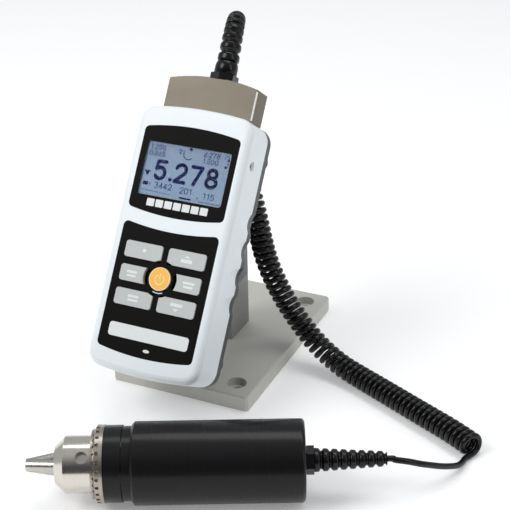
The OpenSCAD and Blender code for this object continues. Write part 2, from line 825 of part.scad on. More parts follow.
module plug_board() color(board_green) case_frame() {
    half = socket_half - socket_wall - insert_clear;
    translate([-half, gland_w - board_t / 2, case_top + case_bow + 2 * plug_wall + insert_clear])
        cube([half * 4 / 3, board_t, plug_h / 3]);
}

// Cord glands
module hex_body(af, h, thread_d, thread_l) {
    translate([0, 0, -thread_l]) cylinder(h = thread_l + sliver, d = thread_d);
    difference() {
        rotate([0, 0, 30]) cylinder(h = h, d = af / cos(30), $fn = 6);
        difference() {
            translate([0, 0, -over]) cylinder(h = h + 2 * over, d = 2 * af);
            translate([0, 0, -af / 2]) cylinder(h = af / 2 + h + af, d1 = 0, d2 = 3 * af + 2 * h);
            cylinder(h = h, d = af);
        }
    }
}

module top_gland_body() color(black_rubber) case_frame()
    translate([gland_side, gland_w, gland_up])
        hex_body(gland_af, gland_hex_h, gland_thread_d, 2 * plug_wall);

// Radius at a share of the way along a ribbed strain relief's tail
function rib_radius(f, root_d, tip_d) = let(place = f * relief_ribs % 1)
    (root_d + (tip_d - root_d) * f) / 2 - (place > relief_share ? relief_groove : 0);
rib_stops = concat([for (k = [0 : relief_ribs - 1], s = relief_stop_shares)
    (k + s) / relief_ribs], [1]);

// Nut under a relief: a cylinder, then a dome cut off level for the tail
module dome_nut(nut_d) rotate_extrude() {
    square([nut_d / 2, dome_nut_h * nut_share]);
    intersection() {
        square([nut_d, dome_nut_h]);
        translate([0, dome_nut_h * nut_share]) circle(r = nut_d / 2);
    }
}

bend = [for (f = rib_stops) let(
    a = [0, 0, 0], b = relief_handle, c = relief_end)
    (1 - f) * (1 - f) * a + 2 * f * (1 - f) * b + f * f * c];
bend_ways = [for (f = rib_stops)
    unit(from_case((1 - f) * relief_handle + f * (relief_end - relief_handle))
        - from_case([0, 0, 0]))];
relief_root = [gland_side, gland_w, gland_up + gland_hex_h + dome_nut_h];

module top_strain_relief() color(black_rubber) {
    case_frame() translate([gland_side, gland_w, gland_up + gland_hex_h])
        dome_nut(dome_nut_d);
    tube([for (q = bend) from_case(relief_root + q - (q == bend[0] ? [0, 0, tail_sunk] : [0, 0, 0]))],
        [for (f = rib_stops) rib_radius(f, relief_root_d, relief_tip_d)], relief_sides,
        bend_ways);
}

// Cord
relief_tip = from_case(relief_root + relief_end);
tip_way = unit(relief_tip - from_case(relief_root + relief_handle));
top_lead = concat([relief_tip, relief_tip + tip_way * cord_d], top_route, [coil_route[0]]);

coil_line = smooth(coil_route, 8);
coil_s = distances(coil_line);
coil_l = coil_s[len(coil_s) - 1];
coil_x = [for (i = [0 : len(coil_s) - 1]) [coil_s[i], coil_line[i].x]];
coil_y = [for (i = [0 : len(coil_s) - 1]) [coil_s[i], coil_line[i].y]];
coil_z = [for (i = [0 : len(coil_s) - 1]) [coil_s[i], coil_line[i].z]];
function coil_at(s) = [lookup(s, coil_x), lookup(s, coil_y), lookup(s, coil_z)];
function coil_way(s) = unit(coil_at(min(s + cord_d, coil_l)) - coil_at(max(s - cord_d, 0)));
curl_r = (coil_d - cord_d) / 2;
curl_from = 2 * cord_d;
ring_count = coil_curls * curl_rings;
// Curls stand closer along the line where it is straight, so that the bend's inside has room
crowd_steps = 64;
crowd_s = [for (j = [0 : crowd_steps]) curl_from + (coil_l - curl_from) * j / crowd_steps];
function crowd(s) = 1 - norm(coil_way(min(s + curl_r, coil_l)) - coil_way(max(s - curl_r, 0))) / 2;
crowd_sum = [for (j = 0, c = 0; j <= crowd_steps; c = c + crowd(crowd_s[j]), j = j + 1) c];
crowd_table = [for (j = [0 : crowd_steps]) [crowd_sum[j], crowd_s[j]]];
function curl_point(k) = let(
    s = lookup(crowd_sum[crowd_steps] * k / ring_count, crowd_table),
    t = coil_way(s), turn = 360 * (ring_count - k) / curl_rings - 90,
    r = curl_r * min(1, k / curl_rings / curl_start))
    coil_at(s) + r * (cos(turn) * across(t) + sin(turn) * cross(t, across(t)));
coil_end = curl_point(ring_count);
coil_exit = unit(coil_end - curl_point(ring_count - 1) + [0, 0, curl_r / curl_rings]);
flat_exit = unit([coil_exit.x, coil_exit.y, 0]);
coil_points = concat([coil_at(0), coil_at(cord_d)],
    [for (k = [1 : ring_count]) curl_point(k)], [coil_end + flat_exit * cord_d]);
coil_gap = min([for (i = [curl_rings : len(coil_points) - curl_rings])
    for (j = [i + curl_rings / 2 + 1 : min(i + 3 * curl_rings, len(coil_points) - 1)])
        norm(coil_points[i] - coil_points[j])]) - cord_d;
echo(coil_least_gap_mm = coil_gap, coil_centre_line_mm = coil_l);

sensor_tip = from_sensor(sensor_l + sensor_hex_h + relief_l);
sensor_lead = concat([coil_points[len(coil_points) - 1],
    coil_points[len(coil_points) - 1] + flat_exit * cord_d], sensor_route,
    [from_sensor(sensor_l + sensor_hex_h + relief_l + cord_d), sensor_tip]);

module cord_lead_top() color(black_rubber)
    tube(top_lead, [for (q = top_lead) cord_r], lead_sides);
module cord_coil() color(black_rubber)
    tube(coil_points, [for (q = coil_points) cord_r], curl_sides);
module cord_lead_sensor() color(black_rubber)
    tube(sensor_lead, [for (q = sensor_lead) cord_r], lead_sides);

// Stand
module stand_base() color(stand_grey) difference() {
    hull() {
        linear_extrude(base_t - rim_chamfer) base_outline();
        linear_extrude(base_t) offset(delta = -rim_chamfer) base_outline();
    }
    for (s = [-1, 1], t = [-1, 1])
        translate([s * (base_w / 2 - base_hole_inset), t * (base_d / 2 - base_hole_inset), 0]) {
            translate([0, 0, -over]) cylinder(h = base_t + 2 * over, d = base_hole_d);
            translate([0, 0, base_t - base_cbore_t])
                cylinder(h = base_cbore_t + over, d = base_cbore_d);
        }
    for (y = column_y) translate([column_x, y, -over]) {
        cylinder(h = base_t + 2 * over, d = column_screw_d + 2 * run_gap);
        cylinder(h = over + column_cbore_h, d = column_head_d + 2 * run_gap);
    }
}

module base_outline() {
    w = base_w / 2;
    d = base_d / 2;
    c = base_chamfer;
    polygon([[c - w, -d], [w - c, -d], [w, c - d], [w, d - c],
        [w - c, d], [c - w, d], [-w, d - c], [-w, c - d]]);
}

// Side-view outline in the Y-Z plane, extruded across the post's width
module side_slab(w) rotate([90, 0, 90]) linear_extrude(w, center = true) children();

module column_bores(d, from, to)
    for (y = column_y) translate([column_x, y, from]) cylinder(h = to - from, d = d);

module stand_post() color(stand_grey) difference() {
    translate([-post_w / 2, -post_front, base_t]) cube([post_w, post_d, post_h]);
    column_bores(column_screw_d + 2 * run_gap, base_t - over, base_t + post_h + over);
}

module column_screws() color(steel)
    for (y = column_y) translate([column_x, y, column_cbore_h - column_head_h])
        cap_screw(column_head_d, column_head_h, column_screw_d,
            base_t - column_cbore_h + post_h + column_grip);

function seat_point(up) = let(q = from_case([0, seat_w, up])) [q.y, q.z];

module plate_bracket() {
    top = base_t + post_h;
    color(bracket_grey) difference() {
        side_slab(post_w) polygon([[-post_front, top], [post_d - post_front, top],
            [post_d - post_front, top + bracket_rear_h], seat_point(seat_high),
            seat_point(seat_low), [-post_front, top + bracket_throat_h]]);
        column_bores(column_screw_d + 2 * run_gap, top - over, top + column_grip + fit_gap);
        case_frame() for (up = plate_screw_up) translate([0, seat_w - over, up])
            rotate([-90, 0, 0]) cylinder(h = over + plate_screw_l, d = plate_screw_d + 2 * run_gap);
    }
}

module mounting_plate() color(stand_grey) case_frame() difference() {
    slab(back_w, seat_w) translate([0, plate_up]) rounded_rect(plate_w, plate_h, plate_corner);
    for (up = plate_screw_up) translate([0, back_w - over, up]) rotate([-90, 0, 0]) {
        cylinder(h = plate_t + 2 * over, d = plate_screw_d + 2 * run_gap);
        cylinder(h = over + plate_screw_head_h + run_gap, d = plate_screw_head_d + 2 * run_gap);
    }
    for (s = [-1, 1], up = case_screw_up) translate([s * case_screw_side, back_w - over, up])
        rotate([-90, 0, 0]) cylinder(h = plate_t + 2 * over, d = case_screw_d + 2 * fit_gap);
}

module plate_screws() color(steel) case_frame()
    for (up = plate_screw_up) translate([0, back_w + run_gap, up]) rotate([-90, 0, 0])
        cap_screw(plate_screw_head_d, plate_screw_head_h, plate_screw_d,
            plate_t - plate_screw_head_h + plate_screw_l - fit_gap);

module indicator_screws() color(steel) case_frame()
    for (s = [-1, 1], up = case_screw_up)
        translate([s * case_screw_side, seat_w + case_screw_head_h, up]) rotate([90, 0, 0])
            cap_screw(case_screw_head_d, case_screw_head_h, case_screw_d,
                plate_t + case_screw_grip - fit_gap);

// Sensor
sensor_bore = sensor_d - 2 * sensor_wall;

module sensor_housing() color(black_metal) sensor_frame() difference() {
    union() {
        cylinder(h = front_chamfer, d1 = sensor_d - 2 * front_chamfer, d2 = sensor_d);
        translate([0, 0, front_chamfer])
            cylinder(h = sensor_l - cap_t - front_chamfer, d = sensor_d);
    }
    translate([0, 0, -over]) cylinder(h = sensor_l + over, d = sensor_bore);
}

module sensor_rear_cap() color(black_metal) sensor_frame() difference() {
    union() {
        translate([0, 0, sensor_l - cap_t]) rotate_extrude() {
            square([sensor_d / 2 - cap_round, cap_t]);
            square([sensor_d / 2, cap_t - cap_round]);
            translate([sensor_d / 2 - cap_round, cap_t - cap_round]) circle(r = cap_round);
        }
        translate([0, 0, sensor_l - cap_t - spigot_l])
            cylinder(h = spigot_l + sliver, d = sensor_bore - 2 * spigot_gap);
    }
    translate([0, 0, sensor_l - cap_t - spigot_l - over])
        cylinder(h = spigot_l + over, d = sensor_bore - 4 * sensor_wall);
    translate([0, 0, sensor_l - 2 * cap_t]) cylinder(h = 3 * cap_t, d = gland_thread_d + 2 * run_gap);
    for (k = [0 : cap_screw_count - 1]) rotate([0, 0, 360 * k / cap_screw_count]) {
        translate([cap_screw_side, 0, sensor_l - cap_screw_head_h])
            cylinder(h = 2 * cap_screw_head_h, d = cap_screw_head_d + 2 * run_gap);
        translate([cap_screw_side, 0, sensor_l - cap_t - cap_screw_grip])
            cylinder(h = cap_t + cap_screw_grip, d = cap_screw_d + 2 * run_gap);
    }
}

module cap_screws() color(steel) sensor_frame()
    for (k = [0 : cap_screw_count - 1]) rotate([0, 0, 360 * k / cap_screw_count])
        translate([cap_screw_side, 0, sensor_l]) mirror([0, 0, 1])
            cap_screw(cap_screw_head_d, cap_screw_head_h, cap_screw_d,
                cap_t + cap_screw_grip - cap_screw_head_h - fit_gap);

module sensor_front_cap() color(black_metal) sensor_frame() difference() {
    union() {
        translate([0, 0, -neck_l]) cylinder(h = neck_l, d = neck_d);
        translate([0, 0, -sliver]) {
            cylinder(h = spigot_l + sliver, d = sensor_bore - 2 * spigot_gap);
            cylinder(h = hub_l + sliver, d = hub_d);
        }
    }
    translate([0, 0, -neck_l - over]) cylinder(h = neck_l + over, d = neck_d - 2 * neck_wall);
    translate([0, 0, -over]) cylinder(h = hub_l + 2 * over, d = bearing_d + 2 * run_gap);
}

module shaft_bearings() color(steel) sensor_frame()
    for (at = bearing_at) translate([0, 0, at]) difference() {
        cylinder(h = bearing_l, d = bearing_d);
        translate([0, 0, -over]) cylinder(h = bearing_l + 2 * over, d = shaft_d + 2 * run_gap);
    }

module torsion_shaft() color(steel) sensor_frame() {
    translate([0, 0, spigot_end + fit_gap])
        cylinder(h = chuck_rear - spigot_end, d = spigot_d - 2 * run_gap);
    translate([0, 0, 0]) cylinder(h = gauge_at[0], d = shaft_d);
    cylinder(h = gauge_at[1], d = gauge_d);
    translate([0, 0, gauge_at[1]]) cylinder(h = anchor_at[0] - gauge_at[1] + sliver, d = shaft_d);
    translate([0, 0, anchor_at[0]])
        cylinder(h = anchor_at[1] - anchor_at[0], d = sensor_bore - 2 * spigot_gap);
    for (s = [-1, 1]) translate([s * standoff_side, 0, anchor_at[1] - sliver])
        cylinder(h = standoff_h + sliver, d = standoff_d);
}

module gauge_board() color(board_green) sensor_frame()
    translate([0, 0, anchor_at[1] + standoff_h]) cylinder(h = board_t, d = gauge_board_d);

module sensor_gland_body() color(black_rubber) sensor_frame() translate([0, 0, sensor_l])
    hex_body(sensor_hex_af, sensor_hex_h, gland_thread_d, cap_t);

module sensor_strain_relief() color(black_rubber) sensor_frame()
    translate([0, 0, sensor_l + sensor_hex_h]) rotate_extrude()
        polygon(concat([[0, 0]], [for (f = rib_stops)
            [rib_radius(f, sensor_relief_root_d, sensor_relief_tip_d), f * relief_l]],
            [[0, relief_l]]));

// Chuck
jaw_sin = sin(jaw_angle);
jaw_tan = tan(jaw_angle);
function jaw_axis_r(at) = jaw_offset + (at - tip_at) * jaw_tan;

// Rod along a jaw's axis between two stations
module jaw_rod(turn, d, from, to)
    rotate([0, 0, turn]) translate([jaw_axis_r(from), 0, from]) rotate([0, jaw_angle, 0])
        cylinder(h = (to - from) / cos(jaw_angle), d = d);

module chuck_body() color(steel) sensor_frame() difference() {
    union() {
        translate([0, 0, nose_at])
            cylinder(h = shoulder_at - nose_at, d1 = nose_d, d2 = chuck_d);
        translate([0, 0, shoulder_at]) cylinder(h = nut_start - nut_side_gap - shoulder_at,
            d = chuck_d);
        translate([0, 0, nut_start - nut_side_gap - sliver])
            cylinder(h = nut_l + 2 * nut_side_gap + 2 * sliver, d = core_d);
        translate([0, 0, nut_start + nut_l + nut_side_gap])
            cylinder(h = chuck_rear - nut_start - nut_l - nut_side_gap, d = bearing_face_d);
    }
    for (turn = jaw_turns)
        jaw_rod(turn, jaw_d + 2 * run_gap, nose_at - jaw_d, chuck_rear + jaw_d);
    translate([0, 0, nose_at - over]) cylinder(h = throat_end - nose_at + over, d = throat_d);
    translate([0, 0, spigot_end]) cylinder(h = -spigot_end + over, d = spigot_d);
    for (turn = pilot_turns) rotate([0, 0, turn])
        translate([chuck_d / 2 - pilot_depth, 0, pilot_at]) rotate([0, 90, 0])
            cylinder(h = 2 * pilot_depth, d = pilot_d);
}

module chuck_sleeve() color(steel) sensor_frame() difference() {
    translate([0, 0, sleeve_front]) union() {
        cylinder(h = bevel_l, d1 = bevel_d, d2 = sleeve_d);
        translate([0, 0, bevel_l]) cylinder(h = sleeve_band - bevel_l, d = sleeve_d);
        cylinder(h = sleeve_rear - sleeve_front, d = sleeve_d - 2 * grip_t);
    }
    translate([0, 0, sleeve_front - over])
        cylinder(h = sleeve_rear - sleeve_front + 2 * over, d = chuck_d + 2 * run_gap);
    translate([0, 0, nut_start])
        cylinder(h = sleeve_rear - nut_start + over, d = bearing_face_d + 2 * run_gap);
    for (k = [0 : sleeve_teeth - 1]) rotate([0, 0, 360 * k / sleeve_teeth])
        translate([bevel_d / 2 - over, 0, sleeve_front - over / 2])
            rotate([0, 90 - tooth_slope, 0])
                cylinder(h = sleeve_d / 2 - bevel_d / 2 + 3 * over, d = tooth_d, $fn = 16);
}
tooth_slope = atan2(bevel_l + tooth_reach, (sleeve_d - bevel_d) / 2);

module sleeve_grip() color(black_metal) sensor_frame()
    translate([0, 0, sleeve_front + sleeve_band]) difference() {
        cylinder(h = sleeve_rear - sleeve_front - sleeve_band, d = sleeve_d - 2 * grip_drop);
        translate([0, 0, -over]) cylinder(h = sleeve_rear - sleeve_front, 
            d = sleeve_d - 2 * grip_t + 2 * run_gap);
    }

function nut_bore_r(at) = jaw_axis_r(at) + jaw_d / 2 / cos(jaw_angle) + run_gap;

module chuck_nut() color(steel) sensor_frame() translate([0, 0, nut_start]) difference() {
    cylinder(h = nut_l, d = bearing_face_d);
    translate([0, 0, -over]) cylinder(h = nut_l + 2 * over,
        r1 = nut_bore_r(nut_start - over), r2 = nut_bore_r(nut_start + nut_l + over));
}

// A jaw is a sloping rod, ground to a 120 degree wedge with a narrow flat on the axis
module chuck_jaw(i) color(steel) sensor_frame() intersection() {
    jaw_rod(jaw_turns[i], jaw_d, tip_at - jaw_d, jaw_rear);
    rotate([0, 0, jaw_turns[i]]) translate([0, 0, tip_at]) linear_extrude(jaw_rear - tip_at)
        polygon([[jaw_least, -jaw_least * tan(60) + jaw_part_gap / 2],
            [core_d, -core_d * tan(60) + jaw_part_gap / 2],
            [core_d, core_d * tan(60) - jaw_part_gap / 2],
            [jaw_least, jaw_least * tan(60) - jaw_part_gap / 2]]);
}
module chuck_jaw_1() chuck_jaw(0);
module chuck_jaw_2() chuck_jaw(1);
module chuck_jaw_3() chuck_jaw(2);

stand_base();
stand_post();
column_screws();
plate_bracket();
mounting_plate();
plate_screws();
indicator_screws();
front_shell();
rear_cover();
upper_bezel();
display_window();
lcd_screen();
lcd_frame();
keypad_overlay();
key_power();
key_top_left();
key_top_right();
key_mid_left();
key_mid_right();
key_low_left();
key_low_right();
key_domes();
keypad_board();
main_board();
battery_pack();
sensor_receptacle();
io_port();
usb_port();
power_jack();
housing_screws();
retaining_screws();
rubber_feet();
plug_housing();
plug_insert();
plug_board();
top_gland_body();
top_strain_relief();
cord_lead_top();
cord_coil();
cord_lead_sensor();
sensor_gland_body();
sensor_strain_relief();
sensor_housing();
sensor_rear_cap();
sensor_front_cap();
shaft_bearings();
torsion_shaft();
gauge_board();
cap_screws();
chuck_body();
chuck_sleeve();
sleeve_grip();
chuck_nut();
chuck_jaw_1();
chuck_jaw_2();
chuck_jaw_3();
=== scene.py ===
"""Torque indicator on its stand, with the chuck sensor and curly cord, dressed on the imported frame."""
import math

import bmesh
import bpy
from mathutils import Matrix, Vector


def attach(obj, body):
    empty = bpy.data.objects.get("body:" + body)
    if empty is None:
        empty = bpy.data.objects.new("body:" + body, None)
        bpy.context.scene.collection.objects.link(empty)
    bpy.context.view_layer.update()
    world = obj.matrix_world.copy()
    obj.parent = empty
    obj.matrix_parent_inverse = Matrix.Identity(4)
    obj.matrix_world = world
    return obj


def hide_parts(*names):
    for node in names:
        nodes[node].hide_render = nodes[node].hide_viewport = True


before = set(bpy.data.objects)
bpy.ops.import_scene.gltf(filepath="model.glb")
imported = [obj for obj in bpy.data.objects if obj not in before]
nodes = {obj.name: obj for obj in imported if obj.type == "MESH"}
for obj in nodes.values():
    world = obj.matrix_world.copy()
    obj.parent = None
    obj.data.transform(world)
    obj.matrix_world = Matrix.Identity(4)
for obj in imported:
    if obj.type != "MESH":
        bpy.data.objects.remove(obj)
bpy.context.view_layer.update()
MM = 0.001

# Camera
AZ, EL, ROLL = (math.radians(a) for a in (25.047, 27.873, -1.065))
CAM_PLACE = (0.3328, -0.6643, 0.4585)
FILM_WIDTH, LENS = 36, 92.113
NEAR, FAR = 0.01, 20
view_dir = Vector((-math.sin(AZ) * math.cos(EL), math.cos(AZ) * math.cos(EL), -math.sin(EL)))
level = Vector((math.cos(AZ), math.sin(AZ), 0))
upward = level.cross(view_dir)
right = level * math.cos(ROLL) + upward * math.sin(ROLL)
top = upward * math.cos(ROLL) - level * math.sin(ROLL)
cam = bpy.data.objects.new("camera", bpy.data.cameras.new("camera"))
bpy.context.scene.collection.objects.link(cam)
cam.data.sensor_width = FILM_WIDTH
cam.data.lens = LENS
cam.data.clip_start = NEAR
cam.data.clip_end = FAR
cam.matrix_world = Matrix((
    (right.x, top.x, -view_dir.x, CAM_PLACE[0]),
    (right.y, top.y, -view_dir.y, CAM_PLACE[1]),
    (right.z, top.z, -view_dir.z, CAM_PLACE[2]),
    (0, 0, 0, 1)))
bpy.context.scene.camera = cam
bpy.context.scene.view_settings.view_transform = "Standard"
bpy.context.scene.view_settings.look = "None"

# Places
TILT = math.radians(33.6)
YAW = math.radians(25)
CASE_Y, CASE_Z = -71.3, 109.3            # middle of the face, in millimetres
SENSOR_X, SENSOR_Y, SENSOR_Z = 24, -167, 23
FACE = Matrix((
    (1, 0, 0, 0),
    (0, math.sin(TILT), -math.cos(TILT), CASE_Y * MM),
    (0, math.cos(TILT), math.sin(TILT), CASE_Z * MM),
    (0, 0, 0, 1)))                       # columns: across, up the face, out of the face
SENSOR = Matrix((
    (0, -math.sin(YAW), math.cos(YAW), SENSOR_X * MM),
    (0, math.cos(YAW), math.sin(YAW), SENSOR_Y * MM),
    (-1, 0, 0, SENSOR_Z * MM),
    (0, 0, 0, 1)))                       # Z runs along the sensor's axis to its rear


def face_point(x, w, v):
    """A point on the case in millimetres: across, depth behind the face, height up the face."""
    return FACE @ Vector((x * MM, v * MM, -w * MM))


# Materials
class Nodes:
    """A small wrapper that makes and links shader nodes."""

    def __init__(self, name):
        self.mat = bpy.data.materials.new(name)
        self.mat.use_nodes = True
        self.tree = self.mat.node_tree
        self.bsdf = self.tree.nodes["Principled BSDF"]

    def add(self, kind, inputs=None, **values):
        """A new node, with the values of its inputs and of its own settings."""
        n = self.tree.nodes.new(kind)
        for k, v in values.items():
            setattr(n, k, v)
        for k, v in (inputs or {}).items():
            n.inputs[k].default_value = v
        return n

    def link(self, a, b):
        self.tree.links.new(a, b)

    def set(self, **values):
        for k, v in values.items():
            self.bsdf.inputs[k.replace("_", " ")].default_value = v


NOISE_LOW, NOISE_HIGH = 0.3, 0.7         # the range that a noise mostly keeps to
FINE_DETAIL, BROAD_DETAIL = 4, 3
LEAST_ROUGH = 0.02
BUMP_STRENGTH = 0.6


def surface(name, color, rough=0.45, metal=0.0, grain=900, vary=0.05, rough_vary=0.06,
            bump=0.0, cloud=14, cloud_vary=0.04, turned=None, turned_bump=0.0, **extra):
    """Colour with a fine grain and a broad cloud, roughness from the grain, and a small bump."""
    m = Nodes(name)
    m.mat.diffuse_color = (*color, 1)
    coord = m.add("ShaderNodeTexCoord").outputs["Object"]
    fine = m.add("ShaderNodeTexNoise", {"Scale": grain, "Detail": FINE_DETAIL})
    broad = m.add("ShaderNodeTexNoise", {"Scale": cloud, "Detail": BROAD_DETAIL})
    m.link(coord, fine.inputs["Vector"])
    m.link(coord, broad.inputs["Vector"])
    grain_out = fine.outputs["Fac"]
    if turned:
        along = m.add("ShaderNodeVectorMath", {1: turned}, operation="DOT_PRODUCT")
        m.link(coord, along.inputs[0])
        lines = m.add("ShaderNodeTexNoise", {"Scale": grain * 3, "Detail": BROAD_DETAIL},
                      noise_dimensions="1D")
        m.link(along.outputs["Value"], lines.inputs["W"])
        grain_out = lines.outputs["Fac"]

    def scaled(low, high, src):
        r = m.add("ShaderNodeMapRange", {"From Min": NOISE_LOW, "From Max": NOISE_HIGH,
                                         "To Min": low, "To Max": high})
        m.link(src, r.inputs["Value"])
        return r.outputs["Result"]

    value = m.add("ShaderNodeMath", operation="MULTIPLY")
    m.link(scaled(1 - vary, 1 + vary, grain_out), value.inputs[0])
    m.link(scaled(1 - cloud_vary, 1 + cloud_vary, broad.outputs["Fac"]), value.inputs[1])
    tint = m.add("ShaderNodeVectorMath", {0: color}, operation="SCALE")
    m.link(value.outputs[0], tint.inputs["Scale"])
    m.link(tint.outputs[0], m.bsdf.inputs["Base Color"])
    m.link(scaled(max(rough - rough_vary, LEAST_ROUGH), rough + rough_vary, grain_out),
           m.bsdf.inputs["Roughness"])
    m.set(Metallic=metal, **extra)
    depth = turned_bump if turned else bump
    if depth:
        b = m.add("ShaderNodeBump", {"Strength": BUMP_STRENGTH, "Distance": depth * MM})
        m.link(grain_out, b.inputs["Height"])
        m.link(b.outputs["Normal"], m.bsdf.inputs["Normal"])
    return m.mat


AXIS = (math.cos(YAW), math.sin(YAW), 0)
M = {
    "white": surface("white_shell", (0.86, 0.91, 0.93), 0.38, bump=0.012, grain=2600, vary=0.012,
                     rough_vary=0.05, cloud_vary=0.012, Specular_IOR_Level=0.45),
    "dark": surface("dark_cover", (0.035, 0.04, 0.045), 0.42, bump=0.02, grain=2400, vary=0.1),
    "panel": surface("face_panel", (0.004, 0.0035, 0.003), 0.5, bump=0.006, grain=1800, vary=0.08,
                     Specular_IOR_Level=0.07),
    "key": surface("key_face", (0.55, 0.575, 0.565), 0.5, bump=0.008, grain=1600, vary=0.03),
    "orange": surface("power_key", (0.98, 0.51, 0.025), 0.35, vary=0.03, grain=800, cloud=60,
                      cloud_vary=0.08),
    "stand": surface("stand_paint", (0.55, 0.545, 0.50), 0.42, bump=0.03, grain=900, vary=0.03,
                     cloud=9, cloud_vary=0.05),
    # The post wears the same paint as the stand; this darker copy of it is painted shade for the post's
    # shaded side
    "post": surface("post_paint_painted_shade", (0.29, 0.29, 0.275), 0.42, bump=0.03, grain=900, vary=0.03,
                    cloud=9, cloud_vary=0.06),
    # The bracket's dark blue-grey is painted shade: it stands in for the shadow of the plate and
    # indicator over the top of the post
    "bracket": surface("bracket_paint", (0.12, 0.145, 0.165), 0.42, bump=0.03, grain=900, vary=0.06),
    "plug": surface("plug_metal", (0.125, 0.103, 0.07), 0.36, metal=0.3, bump=0.01, grain=1500,
                    vary=0.04, cloud=40, cloud_vary=0.10),
    "chuck": surface("turned_steel", (0.66, 0.62, 0.56), 0.17, metal=1.0, turned=AXIS,
                     turned_bump=0.004, grain=900, vary=0.07, rough_vary=0.05),
    "jaw": surface("ground_steel", (0.52, 0.50, 0.46), 0.26, metal=1.0, grain=1400, vary=0.08,
                   bump=0.01),
    "steel": surface("plain_steel", (0.62, 0.61, 0.58), 0.3, metal=1.0, grain=1800, vary=0.06,
                     bump=0.008),
    "black_metal": surface("black_anodise", (0.006, 0.006, 0.0065), 0.3, turned=AXIS,
                           turned_bump=0.0008, grain=500, vary=0.05, rough_vary=0.03,
                           Specular_IOR_Level=0.2, Coat_Weight=0.1, Coat_Roughness=0.08),
    "rubber": surface("black_rubber", (0.0045, 0.0045, 0.005), 0.22, bump=0.008, grain=1500, vary=0.12,
                      cloud=30, cloud_vary=0.12, Specular_IOR_Level=0.32),
    "gland": surface("gland_nylon", (0.006, 0.006, 0.007), 0.18, bump=0.01, grain=1500, vary=0.1),
    "board": surface("solder_mask", (0.03, 0.19, 0.08), 0.35, grain=700, vary=0.15, bump=0.02),
    "battery": surface("shrink_sleeve", (0.05, 0.09, 0.25), 0.4, grain=500, vary=0.1),
    "frame": surface("inner_moulding", (0.55, 0.55, 0.57), 0.5, grain=900, vary=0.05),
    "silk": surface("pale_print", (0.80, 0.83, 0.82), 0.5, grain=1800, vary=0.03),
    "print": surface("key_print", (0.79, 0.81, 0.80), 0.5, grain=1800, vary=0.02),
    "rim": surface("power_rim", (0.95, 0.74, 0.62), 0.4, grain=900, vary=0.02),
    # Pale colour of a painted highlight: the glint along the plug's chamfered corner
    "edge": surface("painted_highlight_edge", (0.86, 0.83, 0.76), 0.3, metal=0.15, grain=1200, vary=0.03),
    "foot": surface("clear_bumper", (0.66, 0.68, 0.69), 0.08, grain=600, vary=0.02,
                    Transmission_Weight=0.5, IOR=1.46),
    "sleeve": surface("cut_steel", (0.40, 0.365, 0.32), 0.3, metal=1.0, turned=AXIS,
                      turned_bump=0.004, grain=900, vary=0.08, rough_vary=0.05),
}


DISPLAY_UP, DISPLAY_W = 41.4, 1.5         # middle of the display: height and depth on the face
DISPLAY_REACH = 0.0135                   # from its middle to its top and foot, in world metres
CLOUD_SHARE = 0.35


def color_stops(node, *stops):
    """Gives a colour ramp's two ends their places and colours."""
    for element, (place, color) in zip(node.color_ramp.elements, stops):
        element.position = place
        element.color = (*color, 1)


def display_material():
    """Backlit blue field, a little darker toward the top, with faint clouds."""
    m = Nodes("display_field")
    coord = m.add("ShaderNodeTexCoord").outputs["Object"]
    split = m.add("ShaderNodeSeparateXYZ")
    m.link(coord, split.inputs[0])
    centre = face_point(0, DISPLAY_W, DISPLAY_UP)
    up = m.add("ShaderNodeMapRange", {"From Min": centre.z - DISPLAY_REACH,
                                      "From Max": centre.z + DISPLAY_REACH})
    m.link(split.outputs["Z"], up.inputs["Value"])
    noise = m.add("ShaderNodeTexNoise", {"Scale": 90})
    m.link(coord, noise.inputs["Vector"])
    mix = m.add("ShaderNodeMath", {1: CLOUD_SHARE}, operation="MULTIPLY_ADD")
    m.link(noise.outputs["Fac"], mix.inputs[0])
    m.link(up.outputs["Result"], mix.inputs[2])
    ramp = m.add("ShaderNodeValToRGB")
    color_stops(ramp, (0.1, (0.175, 0.30, 0.455)), (1.0, (0.145, 0.23, 0.37)))
    m.link(mix.outputs[0], ramp.inputs["Fac"])
    m.link(ramp.outputs["Color"], m.bsdf.inputs["Base Color"])
    m.link(ramp.outputs["Color"], m.bsdf.inputs["Emission Color"])
    m.set(Emission_Strength=0.12, Roughness=0.35)
    return m.mat


def window_material():
    """Clear dark pane with a slightly uneven gloss."""
    m = Nodes("clear_window")
    noise = m.add("ShaderNodeTexNoise", {"Scale": 40})
    r = m.add("ShaderNodeMapRange", {"To Min": 0.03, "To Max": 0.08})
    m.link(noise.outputs["Fac"], r.inputs["Value"])
    m.link(r.outputs["Result"], m.bsdf.inputs["Roughness"])
    m.set(Base_Color=(0.12, 0.14, 0.16, 1), Alpha=0.05, Specular_IOR_Level=0.4)
    return m.mat


M["display"] = display_material()
M["window"] = window_material()
M["ink"] = surface("display_ink", (0.0, 0.008, 0.09), 0.8, grain=900, vary=0.1,
                   Specular_IOR_Level=0.1)
M["ink_soft"] = surface("display_ink_soft", (0.012, 0.045, 0.19), 0.8, grain=900, vary=0.2,
                        Specular_IOR_Level=0.1)

